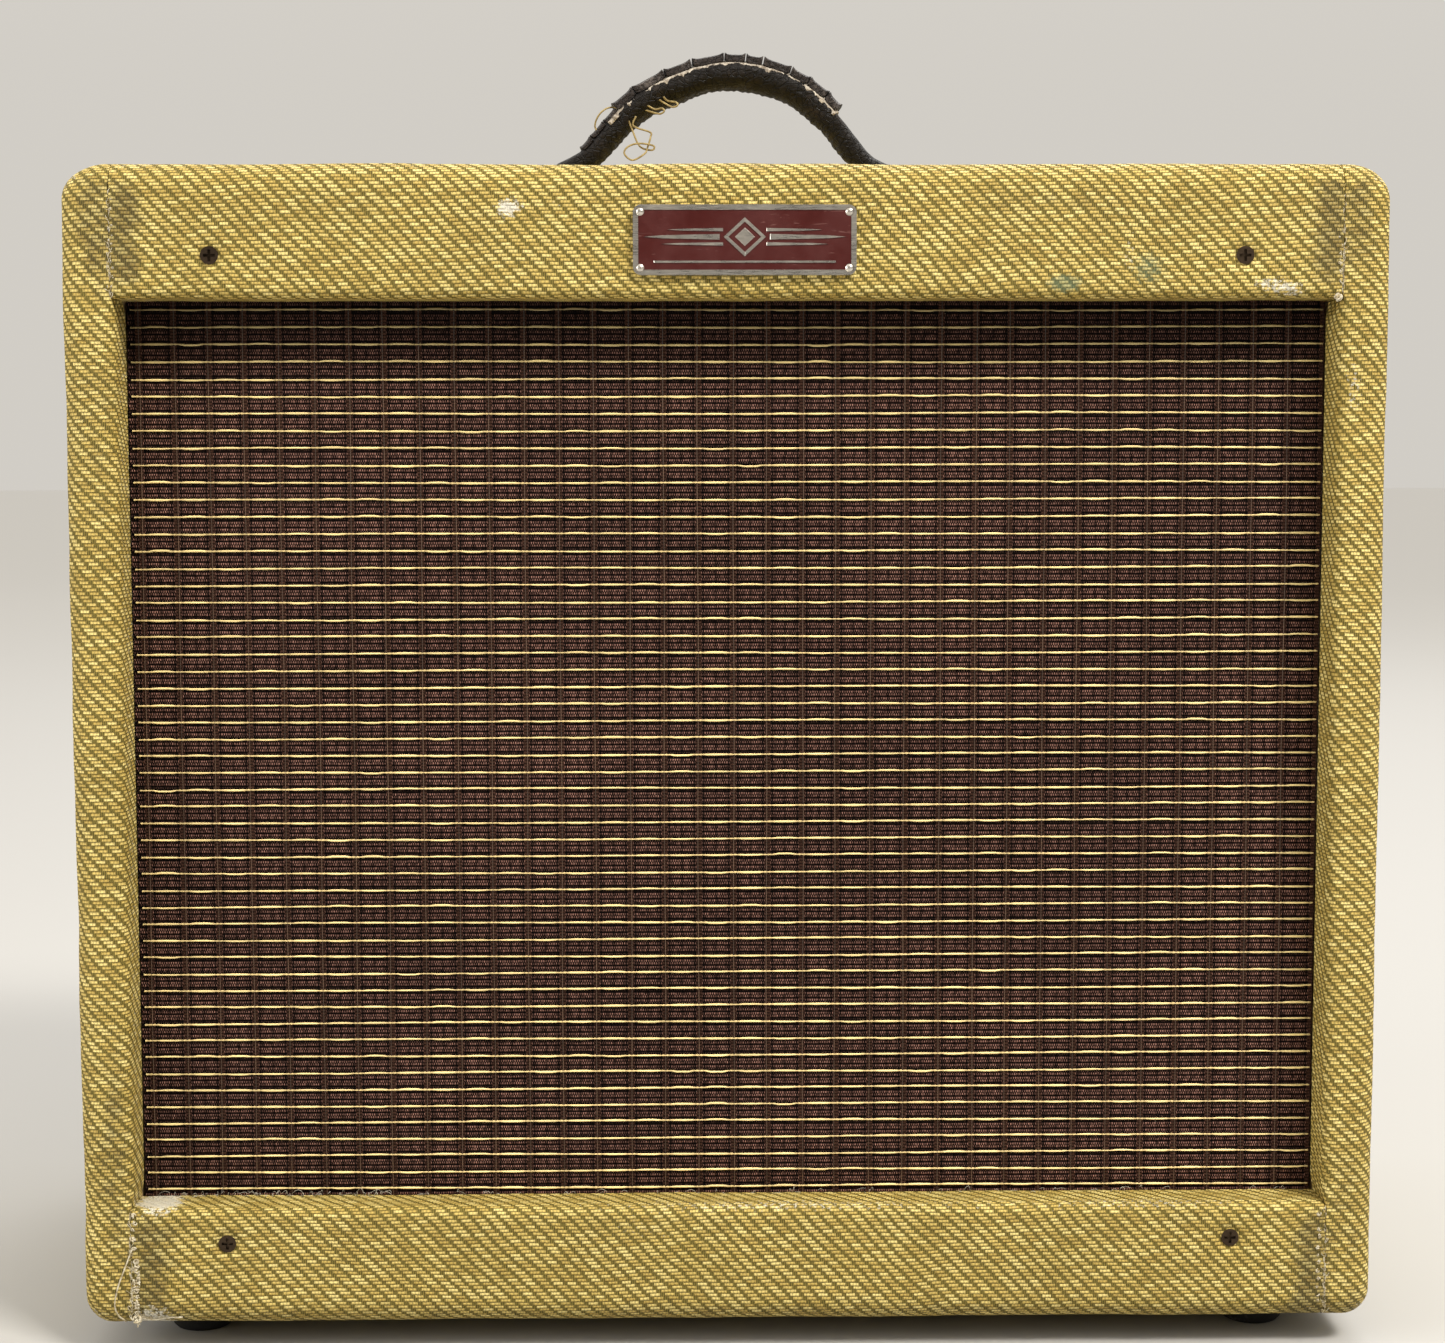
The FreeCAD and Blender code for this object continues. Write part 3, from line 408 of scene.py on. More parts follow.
def tweed_layers(p):
    """Dirt, wear, painted highlights on the bottom rail's top edge and the left side's inner lip, and a small
    stain over points in mm.
    """
    x, y, z = p[:, 0], p[:, 1], p[:, 2]
    out = np.abs(x)
    on_front = smoothstep(front + 12, front + 4, y)
    upper = smoothstep(rail_low_z - 2, rail_low_z + 12, z) * smoothstep(top + 1, top - 14, z)
    lower = smoothstep(rail_top_z + 2, rail_top_z - 10, z)
    worn_side = 0.62 + 0.38 * smoothstep(-10, 10, x)
    dirt = on_front * bell(out, 205.5, 6.0) * (0.95 * upper + lower * worn_side)
    dirt += 0.35 * on_front * bell(x, -200, 7.0) * lower
    dirt += 0.65 * on_front * bell(out, 217, 6.0) * smoothstep(top - 55, top - 22, z)
    dirt *= smoothstep(top + 2, top - 9, z) * 0.9 + 0.1
    dirt += 0.35 * on_front * smoothstep(-196, -214, x) * blob(p, (-216, front, top - 95), (9, 30, 50))
    dirt += 0.40 * on_front * blob(p, (110, front, top - 14), (26, 20, 4))
    dirt += 0.35 * on_front * smoothstep(rail_top_z - 26, rail_top_z - 40, z)
    dirt += 0.30 * smoothstep(base + 22, base + 4, z) * (1 - on_front)
    dirt += patches(p, dirt_patches)
    wear_and_painted_highlight = 0.45 * bell(out, half - 4, 5.0) * (bell(z, top - 5, 6.0) + bell(z, base + 4, 5.0))
    wear_and_painted_highlight += patches(p, wear_and_highlight_patches)
    # painted highlight: the bottom rail's top edge is painted paler through the wear layer, where it catches
    # light from above
    rail_edge_painted_highlight = bell(z, rail_top_z - 1.0, 3.2) * smoothstep(inside + 3, inside - 6, out)
    wear_and_painted_highlight += 0.13 * rail_edge_painted_highlight * smoothstep(front + 16, front + 8, y)
    # painted light: the left side's inner lip is painted paler through the wear layer, where light from the
    # right falls on it
    left_lip_painted_light = smoothstep(front + 2, front + 6, y) * smoothstep(-190, -199, x) * smoothstep(-216, -208, x)
    wear_and_painted_highlight += 0.40 * left_lip_painted_light * smoothstep(back, front + 40, y)
    wear_and_painted_highlight += 0.38 * bell(y, back - 3, 4.0) * (0.5 + 0.5 * waves(p, 5, 60))
    return {"dirt": dirt, "wear_and_painted_highlight": wear_and_painted_highlight, "stain": patches(p, stain_patches)}


def puckered(p, normals):
    """Points pushed in around the four front screws, and very slightly up and down elsewhere."""
    push = 0.22 * waves(p, 11, 55) + 0.10 * waves(p, 12, 17)
    push *= smoothstep(0, 12, np.abs(np.abs(p[:, 0]) - wood_face))
    for x, z in screw_spots:
        r = np.hypot(p[:, 0] - x, p[:, 2] - z)
        near = (p[:, 1] < front + 3) & (r < 12)
        dip = -0.80 * (1 - smoothstep(3.2, 5.6, r)) + 0.22 * np.exp(-((r - 7.5) / 2.0) ** 2)
        push = np.where(near, push * smoothstep(4, 12, r) + dip, push)
    return p + normals * push[:, None]


def arc(centre, radius, start, end, count):
    """(a, b) points on a circular arc with their outward normals, angles in degrees."""
    angles = np.radians(np.linspace(start, end, count))
    way = np.stack([np.cos(angles), np.sin(angles)], 1)
    return np.array(centre) + radius * way, way


def straight(start, end, normal, spacing, extra=()):
    """Points from start to end, ends left out, with more of them near the places in extra."""
    start, end = np.array(start, float), np.array(end, float)
    length = np.linalg.norm(end - start)
    places = list(np.linspace(0, length, max(3, int(length / spacing) + 1))[1:-1])
    for middle in extra:
        places += list(middle + around_screw)
    places = np.array(sorted(set(round(x, 3) for x in places if 0.2 < x < length - 0.2)))
    return start + (end - start) * (places / length)[:, None], np.tile(normal, (len(places), 1))


def rail_skin(name, is_top):
    """The covering of the top or the bottom board and its rail, one strip of cloth."""
    sign = 1 if is_top else -1
    free_z, edge_z, board_z = (rail_low_z, top, ceiling_z) if is_top else (rail_top_z, base, floor_z)
    big, small, rear = front_round, rail_round, rear_round
    screw_z = high_screw_z if is_top else low_screw_z
    run_start = (front, free_z + sign * small)
    parts = [
        straight((cloth_y + 0.2, free_z), (front + small, free_z), (0, -sign), 2.5),
        arc((front + small, free_z + sign * small), small, -90 * sign, -180 * sign, 7),
        straight(run_start, (front, edge_z - sign * big), (-1, 0), 2.0, [abs(screw_z - run_start[1])]),
        arc((front + big, edge_z - sign * big), big, 180 * sign, 90 * sign, 9),
        straight((front + big, edge_z), (back - rear, edge_z), (0, sign), 3.5),
        arc((back - rear, edge_z - sign * rear), rear, 90 * sign, 0, 7),
        straight((back, edge_z - sign * rear), (back, board_z), (1, 0), 3.0),
    ]
    if is_top:
        y0, y1 = panel_low[1] - slot_lip, panel_high[1] + slot_lip
        points, normals = parts[4]
        keep = (np.abs(points[:, 0] - y0) > 1.2) & (np.abs(points[:, 0] - y1) > 1.2)
        points = np.vstack([points[keep], [[y0, top], [y1, top]]])
        normals = np.vstack([normals[keep], [[0, 1], [0, 1]]])
        order = np.argsort(points[:, 0])
        parts[4] = (points[order], normals[order])
    profile = np.vstack([p for p, _ in parts])
    normal = np.vstack([n for _, n in parts])
    steps = np.hypot(*np.diff(profile, axis=0).T)
    run = np.concatenate([[0], np.cumsum(steps)])

    reach = wood_face - seam_gap
    inner = [(reach, 1.3), (reach, 0.55), (reach - 0.16, 0.16), (reach - 0.6, 0.0)]
    xs = sorted(set(np.round(np.concatenate([
        np.linspace(-reach + 2.4, reach - 2.4, 207),
        -screw_x + around_screw, screw_x + around_screw]), 3)))
    if is_top:
        slot_x = panel_high[0] + slot_lip
        xs = sorted([x for x in xs if abs(abs(x) - slot_x) > 0.8] + [-slot_x, slot_x])
    columns = [(-x, d) for x, d in inner] + [(x, 0.0) for x in xs] + [(x, d) for x, d in inner[::-1]]
    points, uvs, ways = [], [], []
    for (y, z), (ny, nz), s in zip(profile, normal, run):
        for x, depth in columns:
            points.append((x, y - ny * depth, z - nz * depth))
            ways.append((0, ny, nz))
            uvs.append((x, sign * s))
    points, ways, uvs = np.array(points), np.array(ways), np.array(uvs)
    rows, count = len(profile), len(columns)
    faces = grid_faces(rows, count, flip=not is_top)
    if is_top:
        row_of = {round(y, 3): i for i, (y, z) in enumerate(profile) if abs(z - top) < 1e-6}
        i0, i1 = row_of[round(y0, 3)], row_of[round(y1, 3)]
        j0 = min(j for j, (x, d) in enumerate(columns) if abs(x + slot_x) < 1e-6)
        j1 = min(j for j, (x, d) in enumerate(columns) if abs(x - slot_x) < 1e-6)
        faces = [f for k, f in enumerate(faces) if not (
            i0 <= k // (count - 1) < i1 and j0 <= k % (count - 1) < j1)]
        ring = [i0 * count + j for j in range(j0, j1)] + [i * count + j1 for i in range(i0, i1)]
        ring += [i1 * count + j for j in range(j1, j0, -1)] + [i * count + j0 for i in range(i1, i0, -1)]
        start = len(points)
        below = points[ring] - np.array([0, 0, 5.0])
        points, ways = np.vstack([points, below]), np.vstack([ways, ways[ring]])
        uvs = np.vstack([uvs, uvs[ring] + [0, -5.0]])
        for k in range(len(ring)):
            n = (k + 1) % len(ring)
            faces.append((ring[k], start + k, start + n, ring[n]))
    middles = np.array([points[list(f)].mean(0) for f in faces])
    under_head = np.zeros(len(faces), bool)
    for x, z in screw_spots:
        near = np.hypot(middles[:, 0] - x, middles[:, 2] - z) < 2.5
        under_head |= near & (middles[:, 1] < front + 3)
    faces = [f for f, hidden in zip(faces, under_head) if not hidden]
    corner_uvs = [uvs[i] for f in faces for i in f]
    made = add_piece(name, puckered(points, ways), faces, tweed, "tweed",
                     uvs=corner_uvs, layers=tweed_layers(points))
    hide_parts("tweed_top" if is_top else "tweed_bottom")


def side_skin(name, sign):
    """The covering of one side: its outline is worked out for the right side and mirrored."""
    seam_x = wood_face + seam_gap
    corner_a, corner_b, low_r = 15.0, 12.5, 10.0
    outline, ways = [], []
    middle_x, middle_z = half - low_r, base + low_r
    lip = [(seam_x, 0.9), (seam_x + 0.12, 0.25), (seam_x + 0.45, 0.0)]
    for x, sunk in lip + [(x, 0.0) for x in np.linspace(seam_x + 0.5, middle_x, 4)[1:-1]]:
        outline.append((x, base + sunk))
        ways.append((0, -1))
    for a in np.radians(np.linspace(-90, 0, 10)):
        outline.append((middle_x + low_r * math.cos(a), middle_z + low_r * math.sin(a)))
        ways.append((math.cos(a), math.sin(a)))
    for z in np.linspace(base + low_r, top - corner_b, 190)[1:-1]:
        outline.append((half, z))
        ways.append((1, 0))
    for a in np.radians(np.linspace(0, 90, 14)):
        c, rise = math.cos(a), math.sin(a)
        outline.append((half - corner_a + corner_a * c, top - corner_b + corner_b * rise))
        way = np.array([corner_b * c, corner_a * rise])
        ways.append(tuple(way / np.linalg.norm(way)))
    for x, sunk in [((half - corner_a + seam_x + 0.5) / 2, 0.0)] + lip[::-1]:
        outline.append((x, top - sunk))
        ways.append((0, 1))
    outline, ways = np.array(outline), np.array(ways)
    round_run = np.concatenate([[0], np.cumsum(np.hypot(*np.diff(outline, axis=0).T))])
    level = round_run - round_run[np.argmin(np.abs(outline[:, 1] - (base + top) / 2))] + (base + top) / 2
    count = len(outline)

    depth, points, normals, uvs = [], [], [], []
    for a in np.radians(np.linspace(0, 90, 9)):
        depth.append((front_round * (1 - math.sin(a)), front + front_round * (1 - math.cos(a)),
                      math.sin(a), -math.cos(a), front_round * a))
    flat_end, first = back - rear_round, front_round * math.pi / 2
    for y in np.linspace(front + front_round, flat_end, 88)[1:]:
        depth.append((0.0, y, 1.0, 0.0, first + y - front - front_round))
    last = depth[-1][4]
    for a in np.radians(np.linspace(0, 90, 7))[1:]:
        depth.append((rear_round * (1 - math.cos(a)), back - rear_round + rear_round * math.sin(a),
                      math.cos(a), math.sin(a), last + rear_round * a))
    for inset, y, out, along_y, u in depth:
        for (x, z), (nx, nz), v in zip(outline, ways, level):
            points.append((x - nx * inset, y, z - nz * inset))
            normals.append((nx * out, along_y, nz * out))
            uvs.append((half - front_round + u, v))
    faces = grid_faces(len(depth), count)
    rounded = len([d for d in depth if d[4] <= first + 0.01])
    corner_uvs = []
    for f in faces:
        over_edge = max(f) < rounded * count
        for i in f:
            k, j = divmod(i, count)
            if over_edge:
                start, run = outline[j] - ways[j] * front_round, depth[k][4]
                corner_uvs.append((start[0] + ways[j][0] * run, start[1] + ways[j][1] * run))
            else:
                corner_uvs.append(uvs[i])

    def patch(rows, outer_start, flip):
        """Joins the strip of outline points at outer_start to rows of inner points."""
        start = len(points)
        for row in rows:
            for point, normal, uv in row:
                points.append(point)
                normals.append(normal)
                uvs.append(uv)
        for k in range(len(rows)):
            upper = outer_start if k == 0 else start + (k - 1) * count
            for j in range(count - 1):
                quad = (upper + j, upper + j + 1, start + k * count + j + 1, start + k * count + j)
                quad = quad[::-1] if flip else quad
                faces.append(quad)
                for i in quad:
                    x, y, z = points[i]
                    corner_uvs.append(uvs[i] if i >= start else (x, z))

    share = round_run / round_run[-1]
    inner_z = (base + front_round) + share * (top - base - 2 * front_round)

    def between_rails(start, end):
        """1 between the rails, reached from start to end mm inside the bottom rail's edge."""
        return (smoothstep(rail_top_z + start, rail_top_z + end, inner_z)
                * smoothstep(rail_low_z - start, rail_low_z - end, inner_z))

    opening, deep = between_rails(-2, 7), between_rails(-7, -2)
    radius, wall = 0.5 + 3.5 * opening, seam_x - (seam_x - inside) * opening

    def flat_rows(outer_start, inner_x, y, steps, away, mirror=1):
        """Rows of points across a flat face, from the outline to inner_x, inner_z."""
        outer = np.array(points[outer_start:outer_start + count])
        made = []
        for t in steps:
            xs = outer[:, 0] + (inner_x - outer[:, 0]) * t
            zs = outer[:, 2] + (inner_z - outer[:, 2]) * t
            made.append([((x, y, z), (0, away, 0), (mirror * x, z)) for x, z in zip(xs, zs)])
        return made

    rows = flat_rows(0, wall + radius, front, (0.2, 0.4, 0.6, 0.8, 1.0), -1)
    for a in np.radians(np.linspace(0, 90, 7))[1:]:
        row = []
        for j in range(count):
            x = wall[j] + radius[j] * (1 - math.sin(a))
            y = front + radius[j] * (1 - math.cos(a))
            row.append(((x, y, inner_z[j]), (-math.sin(a), -math.cos(a), 0),
                        (wall[j] + radius[j] * (1 - a), inner_z[j])))
        rows.append(row)
    for t in (0.25, 0.5, 0.75, 1.0):
        row = []
        for j in range(count):
            reach = (cloth_y - front - radius[j]) * deep[j] + 0.9 * (1 - deep[j])
            y = front + radius[j] + reach * t
            row.append(((wall[j], y, inner_z[j]), (-1, 0, 0),
                        (wall[j] - radius[j] * 0.57 - reach * t, inner_z[j])))
        rows.append(row)
    patch(rows, 0, True)

    rear_start = (len(depth) - 1) * count
    inner_z = (base + rear_round) + share * (top - base - 2 * rear_round)
    rows = flat_rows(rear_start, wood_face + 0.5, back, (0.33, 0.67, 1.0), 1, -1)
    for sunk, along_y in ((0.5, 1), (1.6, 0)):
        rows.append([((wood_face + 0.02, back - sunk, z), (-1, along_y, 0), (-wood_face - sunk, z))
                     for z in inner_z])
    patch(rows, rear_start, False)

    points, normals = np.array(points, float), np.array(normals, float)
    corner_uvs = np.array(corner_uvs, float)
    if sign < 0:
        points[:, 0] *= -1
        normals[:, 0] *= -1
        corner_uvs[:, 0] *= -1
        order, at, turned = [], 0, []
        for f in faces:
            turned.append(f[::-1])
            order += list(range(at, at + len(f)))[::-1]
            at += len(f)
        faces, corner_uvs = turned, corner_uvs[order]
    push = 0.25 * waves(points, 21 + sign, 60) + 0.10 * waves(points, 31 + sign, 16)
    push *= smoothstep(0, 10, np.abs(np.abs(points[:, 0]) - wood_face))
    made = add_piece(name, points + normals * push[:, None], faces, tweed, "tweed",
                     uvs=corner_uvs, layers=tweed_layers(points))
    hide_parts("tweed_side_right" if sign > 0 else "tweed_side_left")


rail_skin("tweed_over_top", True)
rail_skin("tweed_over_bottom", False)
side_skin("tweed_over_left_side", -1)
side_skin("tweed_over_right_side", 1)

# ---- grille cloth ----
band_start, band_pitch = -205.8, 12.2
thread_start, thread_pitch, thread_count = rail_low_z - 2.8, 6.02, 53


def grille_material():
    """Dark oxblood ground with fine wavy dashes, upright bands, a painted shadow at each gold thread and a
    painted shadow under the top rail.
    """
    s = Shade("grille_ground", Specular_IOR_Level=0.06)
    where = s.coords()
    x, _, z = s.split(where)
    u = s.mul(s.sub(s.mul(x, 1000.0), band_start), 1 / band_pitch)
    v = s.mul(s.sub(thread_start, s.mul(z, 1000.0)), 1 / thread_pitch)
    off_band, off_thread = s.gap(u, band_pitch), s.gap(v, thread_pitch)
    waves_across = s.mul(u, 2 * math.pi * 15)
    fine = s.linear(v, 5.0, s.mul(s.math("SINE", waves_across), 0.16))
    checker = s.math("SINE", s.add(waves_across, s.mul(s.math("FLOOR", fine), math.pi)))
    dash = s.span(s.mul(s.ridge(fine), s.linear(checker, 0.38, 0.62)), 0.2, 0.95)
    patchy = s.noise(where, 700.0, 2.0, 0.6)
    amount = s.mul(dash, s.span(patchy, 0.3, 0.75, 0.25, 1.2))
    ground = s.mix(amount, (0.0022, 0.0006, 0.0004), (0.36, 0.185, 0.145))
    ground = s.faded(ground, off_thread, 0.5, 1.6, 0.12, 1.0)
    # painted shadow: the cloth is painted darker towards the top, where the top rail shades it
    ground = s.faded(ground, s.mul(z, 1000.0), rail_low_z - 34.0, rail_low_z - 2.0, 1.0, 0.35)
    ground = s.faded(ground, s.math("ABSOLUTE", s.sub(off_band, 1.65)), 0.15, 0.5, 0.22, 1.0)
    ground = s.faded(ground, s.math("ABSOLUTE", s.sub(off_band, 2.7)), 0.08, 0.3, 0.5, 1.0)
    ground = s.faded(ground, off_band, band_pitch / 2 - 0.55, band_pitch / 2 - 0.2, 1.0, 0.45)
    strip = s.mix(s.ridge(s.mul(z, 1000.0 / 1.1)), (0.006, 0.0025, 0.002), (0.050, 0.024, 0.016))
    ground = s.mix(s.span(off_band, 1.15, 0.85), ground, strip)
    ground = s.faded(ground, s.noise(where, 9.0, 2.0), 0.3, 0.7, 0.85, 1.2)
    lint = s.span(s.noise(where, 900.0, 2.0, 0.7), 0.74, 0.80)
    return s.finish(s.mix(s.mul(lint, 0.35), ground, (0.42, 0.34, 0.28)),
                    s.span(dash, 0.0, 1.0, 0.95, 0.75),
                    s.add(dash, s.mul(patchy, 0.3)), 0.0004, 0.8)


def thread_material(name, dull, bright, variety):
    s = Shade(name, Roughness=0.48, Specular_IOR_Level=0.45)
    where = s.coords()
    x, _, z = s.split(where)
    cell = s.math("FLOOR", s.mul(x, 1000.0 / band_pitch))
    lot = s.chance(cell, s.math("FLOOR", s.mul(z, 1000.0 / thread_pitch)))
    fibre = s.noise(s.stretch(where, 300.0, 3000.0, 3000.0), 1.0, 2.0)
    # painted highlight and shade: the shine layer mixes each thread from a painted shaded colour (dull) to a
    # painted lit colour (bright)
    colour = s.mix(s.layer("painted_shine"), dull, bright)
    colour = s.scale_colour(colour, s.linear(lot, variety, 1.0 - variety / 2))
    # painted shadow: the threads are painted darker towards the top, where the top rail shades the cloth
    colour = s.faded(colour, s.mul(z, 1000.0), rail_low_z - 30.0, rail_low_z - 2.0, 1.0, 0.3)
    s.set("Base Color", s.scale_colour(colour, s.linear(fibre, 0.5, 0.75)))
    s.bump(fibre, 0.0002, 0.5)
    return s.material


def threads(name, lines, material, sides=5):
    """Half-round threads lying on the cloth. Each line is (points, width, proud, shine) per station; shine is
    the painted highlight and shade along each thread.
    """
    points, faces, painted_shine = [], [], []
    angles = np.linspace(0, math.pi, sides)
    for centres, widths, proud, bright, across in lines:
        start = len(points)
        for c, w, p, b in zip(centres, widths, proud, bright):
            for a in angles:
                side = np.array(across) * math.cos(a) * w
                points.append((c[0] + side[0], c[1] - math.sin(a) * p, c[2] + side[2]))
                painted_shine.append(b)
        faces += grid_faces(len(centres), sides, start, flip=across[0] > 0)
    return add_piece(name, points, faces, material, "grille_cloth", layers={"painted_shine": painted_shine})


def build_grille():
    rng = np.random.default_rng(4)
    x0, x1 = cloth_low[0], cloth_high[0]
    xs, zs = np.linspace(x0, x1, 90), np.linspace(cloth_low[2], cloth_high[2], 80)
    grid = np.array([(x, cloth_y, z) for z in zs for x in xs])
    shown = smoothstep(0, 12, inside - np.abs(grid[:, 0]))
    shown *= smoothstep(rail_top_z, rail_top_z + 12, grid[:, 2])
    shown *= smoothstep(rail_low_z, rail_low_z - 12, grid[:, 2])
    grid[:, 1] -= 0.15 * shown * (1 + waves(grid, 41, 70))
    ground = add_piece("grille_ground", grid, grid_faces(80, 90), grille_material(), "grille_cloth")
    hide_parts("grille_cloth")

    offsets = (0.0, 0.8, 1.4, 1.9, 2.6, 4.0, 6.1, 8.2, 9.6, 10.3, 10.8, 11.4)
    # distance from a band: half width, height and brightness of the gold thread there; the brightness is
    # painted highlight and shade, duller near the band
    keys, widths, heights, thread_painted_brightness = zip(
        (0, 0.27, 0.36, 0.55), (0.8, 0.36, 0.44, 0.72), (1.4, 0.26, 0.32, 0.50), (1.9, 0.30, 0.34, 0.62),
        (2.6, 0.34, 0.42, 0.88), (4.0, 0.36, 0.50, 1.0), (6.1, 0.39, 0.55, 1.0))
    stations = np.array([band_start - band_pitch + k * band_pitch + o for k in range(36) for o in offsets])
    stations = stations[(stations > x0 + 0.2) & (stations < x1 - 0.2)]
    from_band = np.abs((stations - band_start + band_pitch / 2) % band_pitch - band_pitch / 2)
    cell = ((stations - band_start) // band_pitch).astype(int) + 1
    lines = []
    for k in range(thread_count):
        z = thread_start - k * thread_pitch
        drift = 0.22 * np.sin(stations / rng.uniform(38, 70) + rng.uniform(0, 6.3))
        lift = rng.normal(0, 0.10, 40)[cell] * np.interp(from_band, [0, 2.2, 3.5], [0, 0, 1])
        vary = rng.uniform(0.85, 1.12, 40)[cell]
        width = np.interp(from_band, keys, widths) * vary
        proud = np.interp(from_band, keys, heights)
        bright = np.interp(from_band, keys, thread_painted_brightness)
        centres = np.stack([stations, np.full(len(stations), cloth_y - 0.12), z + drift + lift], 1)
        lines.append((centres, width, proud + 0.12, bright, (0, 0, 1)))
    # the gold thread's painted shaded colour and painted highlight colour
    gold = threads("grille_gold_threads", lines,
                   thread_material("gold_thread", (0.20, 0.11, 0.04), (0.93, 0.73, 0.33), 0.34))
    lines = []
    zs = np.arange(cloth_low[2] + 1, cloth_high[2] - 1, thread_pitch / 4)
    for k in range(35):
        x = band_start + k * band_pitch
        if abs(x) > x1 - 0.5:
            continue
        wander = x + 0.15 * np.sin(zs / 23 + k) + rng.normal(0, 0.2)
        swell = 0.5 + 0.5 * np.cos((zs - thread_start) / thread_pitch * 2 * math.pi)
        centres = np.stack([wander, np.full(len(zs), cloth_y - 0.08), zs], 1)
        # painted shade: each band thread is painted darker where a gold thread crosses it
        lines.append((centres, 0.15 + 0.05 * swell, 0.30 + 0.1 * swell, 0.3 + 0.7 * (1 - swell), (1, 0, 0)))
    # the band thread's painted shaded colour and painted lit colour
    bands = threads("grille_band_threads", lines,
                    thread_material("band_thread", (0.022, 0.011, 0.007), (0.105, 0.060, 0.038), 0.9), 4)


build_grille()


# ---- loose fibres at the seams ----
def smooth_line(points, per_span):
    """A Catmull-Rom curve through (x, z) points."""
    p = np.array(points, float)
    p = np.vstack([2 * p[0] - p[1], p, 2 * p[-1] - p[-2]])
    out = []
    for a, b, c, d in zip(p[:-3], p[1:-2], p[2:-1], p[3:]):
        for t in np.linspace(0, 1, per_span, endpoint=False):
            out.append(0.5 * (2 * b + (c - a) * t + (2 * a - 5 * b + 4 * c - d) * t ** 2
                              + (3 * b - a - 3 * c + d) * t ** 3))
    out.append(p[-2])
    return np.array(out)


def fibres(name, strands, material, body="root", slot="tweed", sides=4):
    """Fine loose threads. Each strand is (points, radius)."""
    points, faces = [], []
    for line, radius in strands:
        line = np.array(line, float)
        start = len(points)
        tangents = np.gradient(line, axis=0)
        for c, t in zip(line, tangents):
            t = t / (np.linalg.norm(t) + 1e-9)
            side = np.cross(t, (0.31, 0.2, 0.93))
            side /= np.linalg.norm(side) + 1e-9
            other = np.cross(t, side)
            for k in range(sides):
                a = 2 * math.pi * k / sides
                points.append(c + radius * (math.cos(a) * side + math.sin(a) * other))
        faces += tube_faces(len(line), sides, start) + end_faces(len(line), sides, start)
    return add_piece(name, points, faces, material, slot, body)


def fray_material(name, low, high):
    s = Shade(name, Roughness=0.8, Specular_IOR_Level=0.2)
    where = s.coords()
    s.set("Base Color", s.ramp(s.noise(where, 700.0, 2.0), (0.3, low), (0.7, high)))
    s.bump(s.noise(where, 3000.0), 0.0001, 0.6)
    return s.material


fray = fray_material("frayed_thread", (0.34, 0.26, 0.13), (0.80, 0.74, 0.58))


def seam_strands(seed, side):
    """Short pale ends along the front seams, thicker where the cloth is worn."""
    rng = np.random.default_rng(seed)
    strands = []
    stretches = [(rail_low_z + 2, top - 10, 46), (base + 9, rail_top_z - 1, 50),
                 (rail_low_z + 1, rail_low_z + 18, 26), (base + 3, base + 22, 44)]
    for z in np.concatenate([rng.uniform(low, high, count) for low, high, count in stretches]):
        x = side * (wood_face + rng.normal(0, 0.28))
        lean, length = rng.normal(0, 0.5), rng.uniform(0.8, 2.6)
        turn = rng.uniform(0, 2 * math.pi)
        way = np.array([math.sin(lean) * 0.8, -abs(rng.normal(0.12, 0.1)), math.cos(lean)])
        bow = np.array([math.cos(turn), -0.3, math.sin(turn)]) * rng.uniform(0.1, 0.45)
        start = np.array([x, front + 0.25, z - length / 2])
        t = np.linspace(0, 1, 5)[:, None]
        line = start + way * length * t + bow * np.sin(math.pi * t)
        line[:, 1] = np.minimum(line[:, 1], front + 0.3)
        strands.append((line, rng.uniform(0.06, 0.13)))
    for _ in range(26):
        z = base + rng.uniform(0, 7)
        x = side * (wood_face - rng.uniform(0, 12))
        t = np.linspace(0, 1, 5)[:, None]
        way = np.array([rng.normal(0, 1.5), -0.5, rng.normal(0, 1.2)])
        strands.append((np.array([x, front + 2.0 - 0.2 * z / top, z + 4]) + way * t, rng.uniform(0.1, 0.18)))
    return strands


def knot_strands(seed, centre, radius, count):
    """A little tangle of thread ends."""
    rng = np.random.default_rng(seed)
    strands = []
    for _ in range(count):
        start, turn = rng.normal(size=3), rng.normal(size=3)
        start /= np.linalg.norm(start)
        turn /= np.linalg.norm(turn)
        t = np.linspace(0, rng.uniform(1.2, 2.6), 9)[:, None]
        side = np.cross(start, turn)
        ring = start * np.cos(t) + side * np.sin(t)
        size = radius * rng.uniform(0.6, 1.0)
        strands.append((np.array(centre) + ring * size * (1, 0.5, 1), radius * rng.uniform(0.18, 0.28)))
    return strands


def beads(seed, x, low, high, radius, share, pitch=2.9):
    """Knotted ends of the cut cloth, one for each turn of its weave."""
    rng = np.random.default_rng(seed)
    strands = []
    for k, z in enumerate(np.arange(low, high, pitch)):
        if rng.uniform() < share:
            size = radius * rng.uniform(0.6, 1.25)
            at = (x + rng.normal(0, 0.25), front - 0.05, z + rng.normal(0, 0.3))
            strands += knot_strands(seed * 100 + k, at, size, 7)
    return strands


def lint_strands():
    """Dust and loose ends caught along the bottom of the grille cloth."""
    rng = np.random.default_rng(17)
    strands = []
    for _ in range(150):
        x = rng.choice([rng.uniform(-206, -120), rng.uniform(-206, 206)])
        start = np.array([x, rng.uniform(cloth_y - 5, cloth_y - 0.6), rail_top_z + rng.uniform(0.0, 0.5)])
        t = np.linspace(0, 1, 5)[:, None]
        way = rng.normal(size=3) * (1.8, 0.8, 0.5)
        bow = np.abs(rng.normal(size=3)) * (0.3, 0.2, 0.8)
        strands.append((start + way * t + bow * np.sin(math.pi * t), rng.uniform(0.05, 0.1)))
    return strands


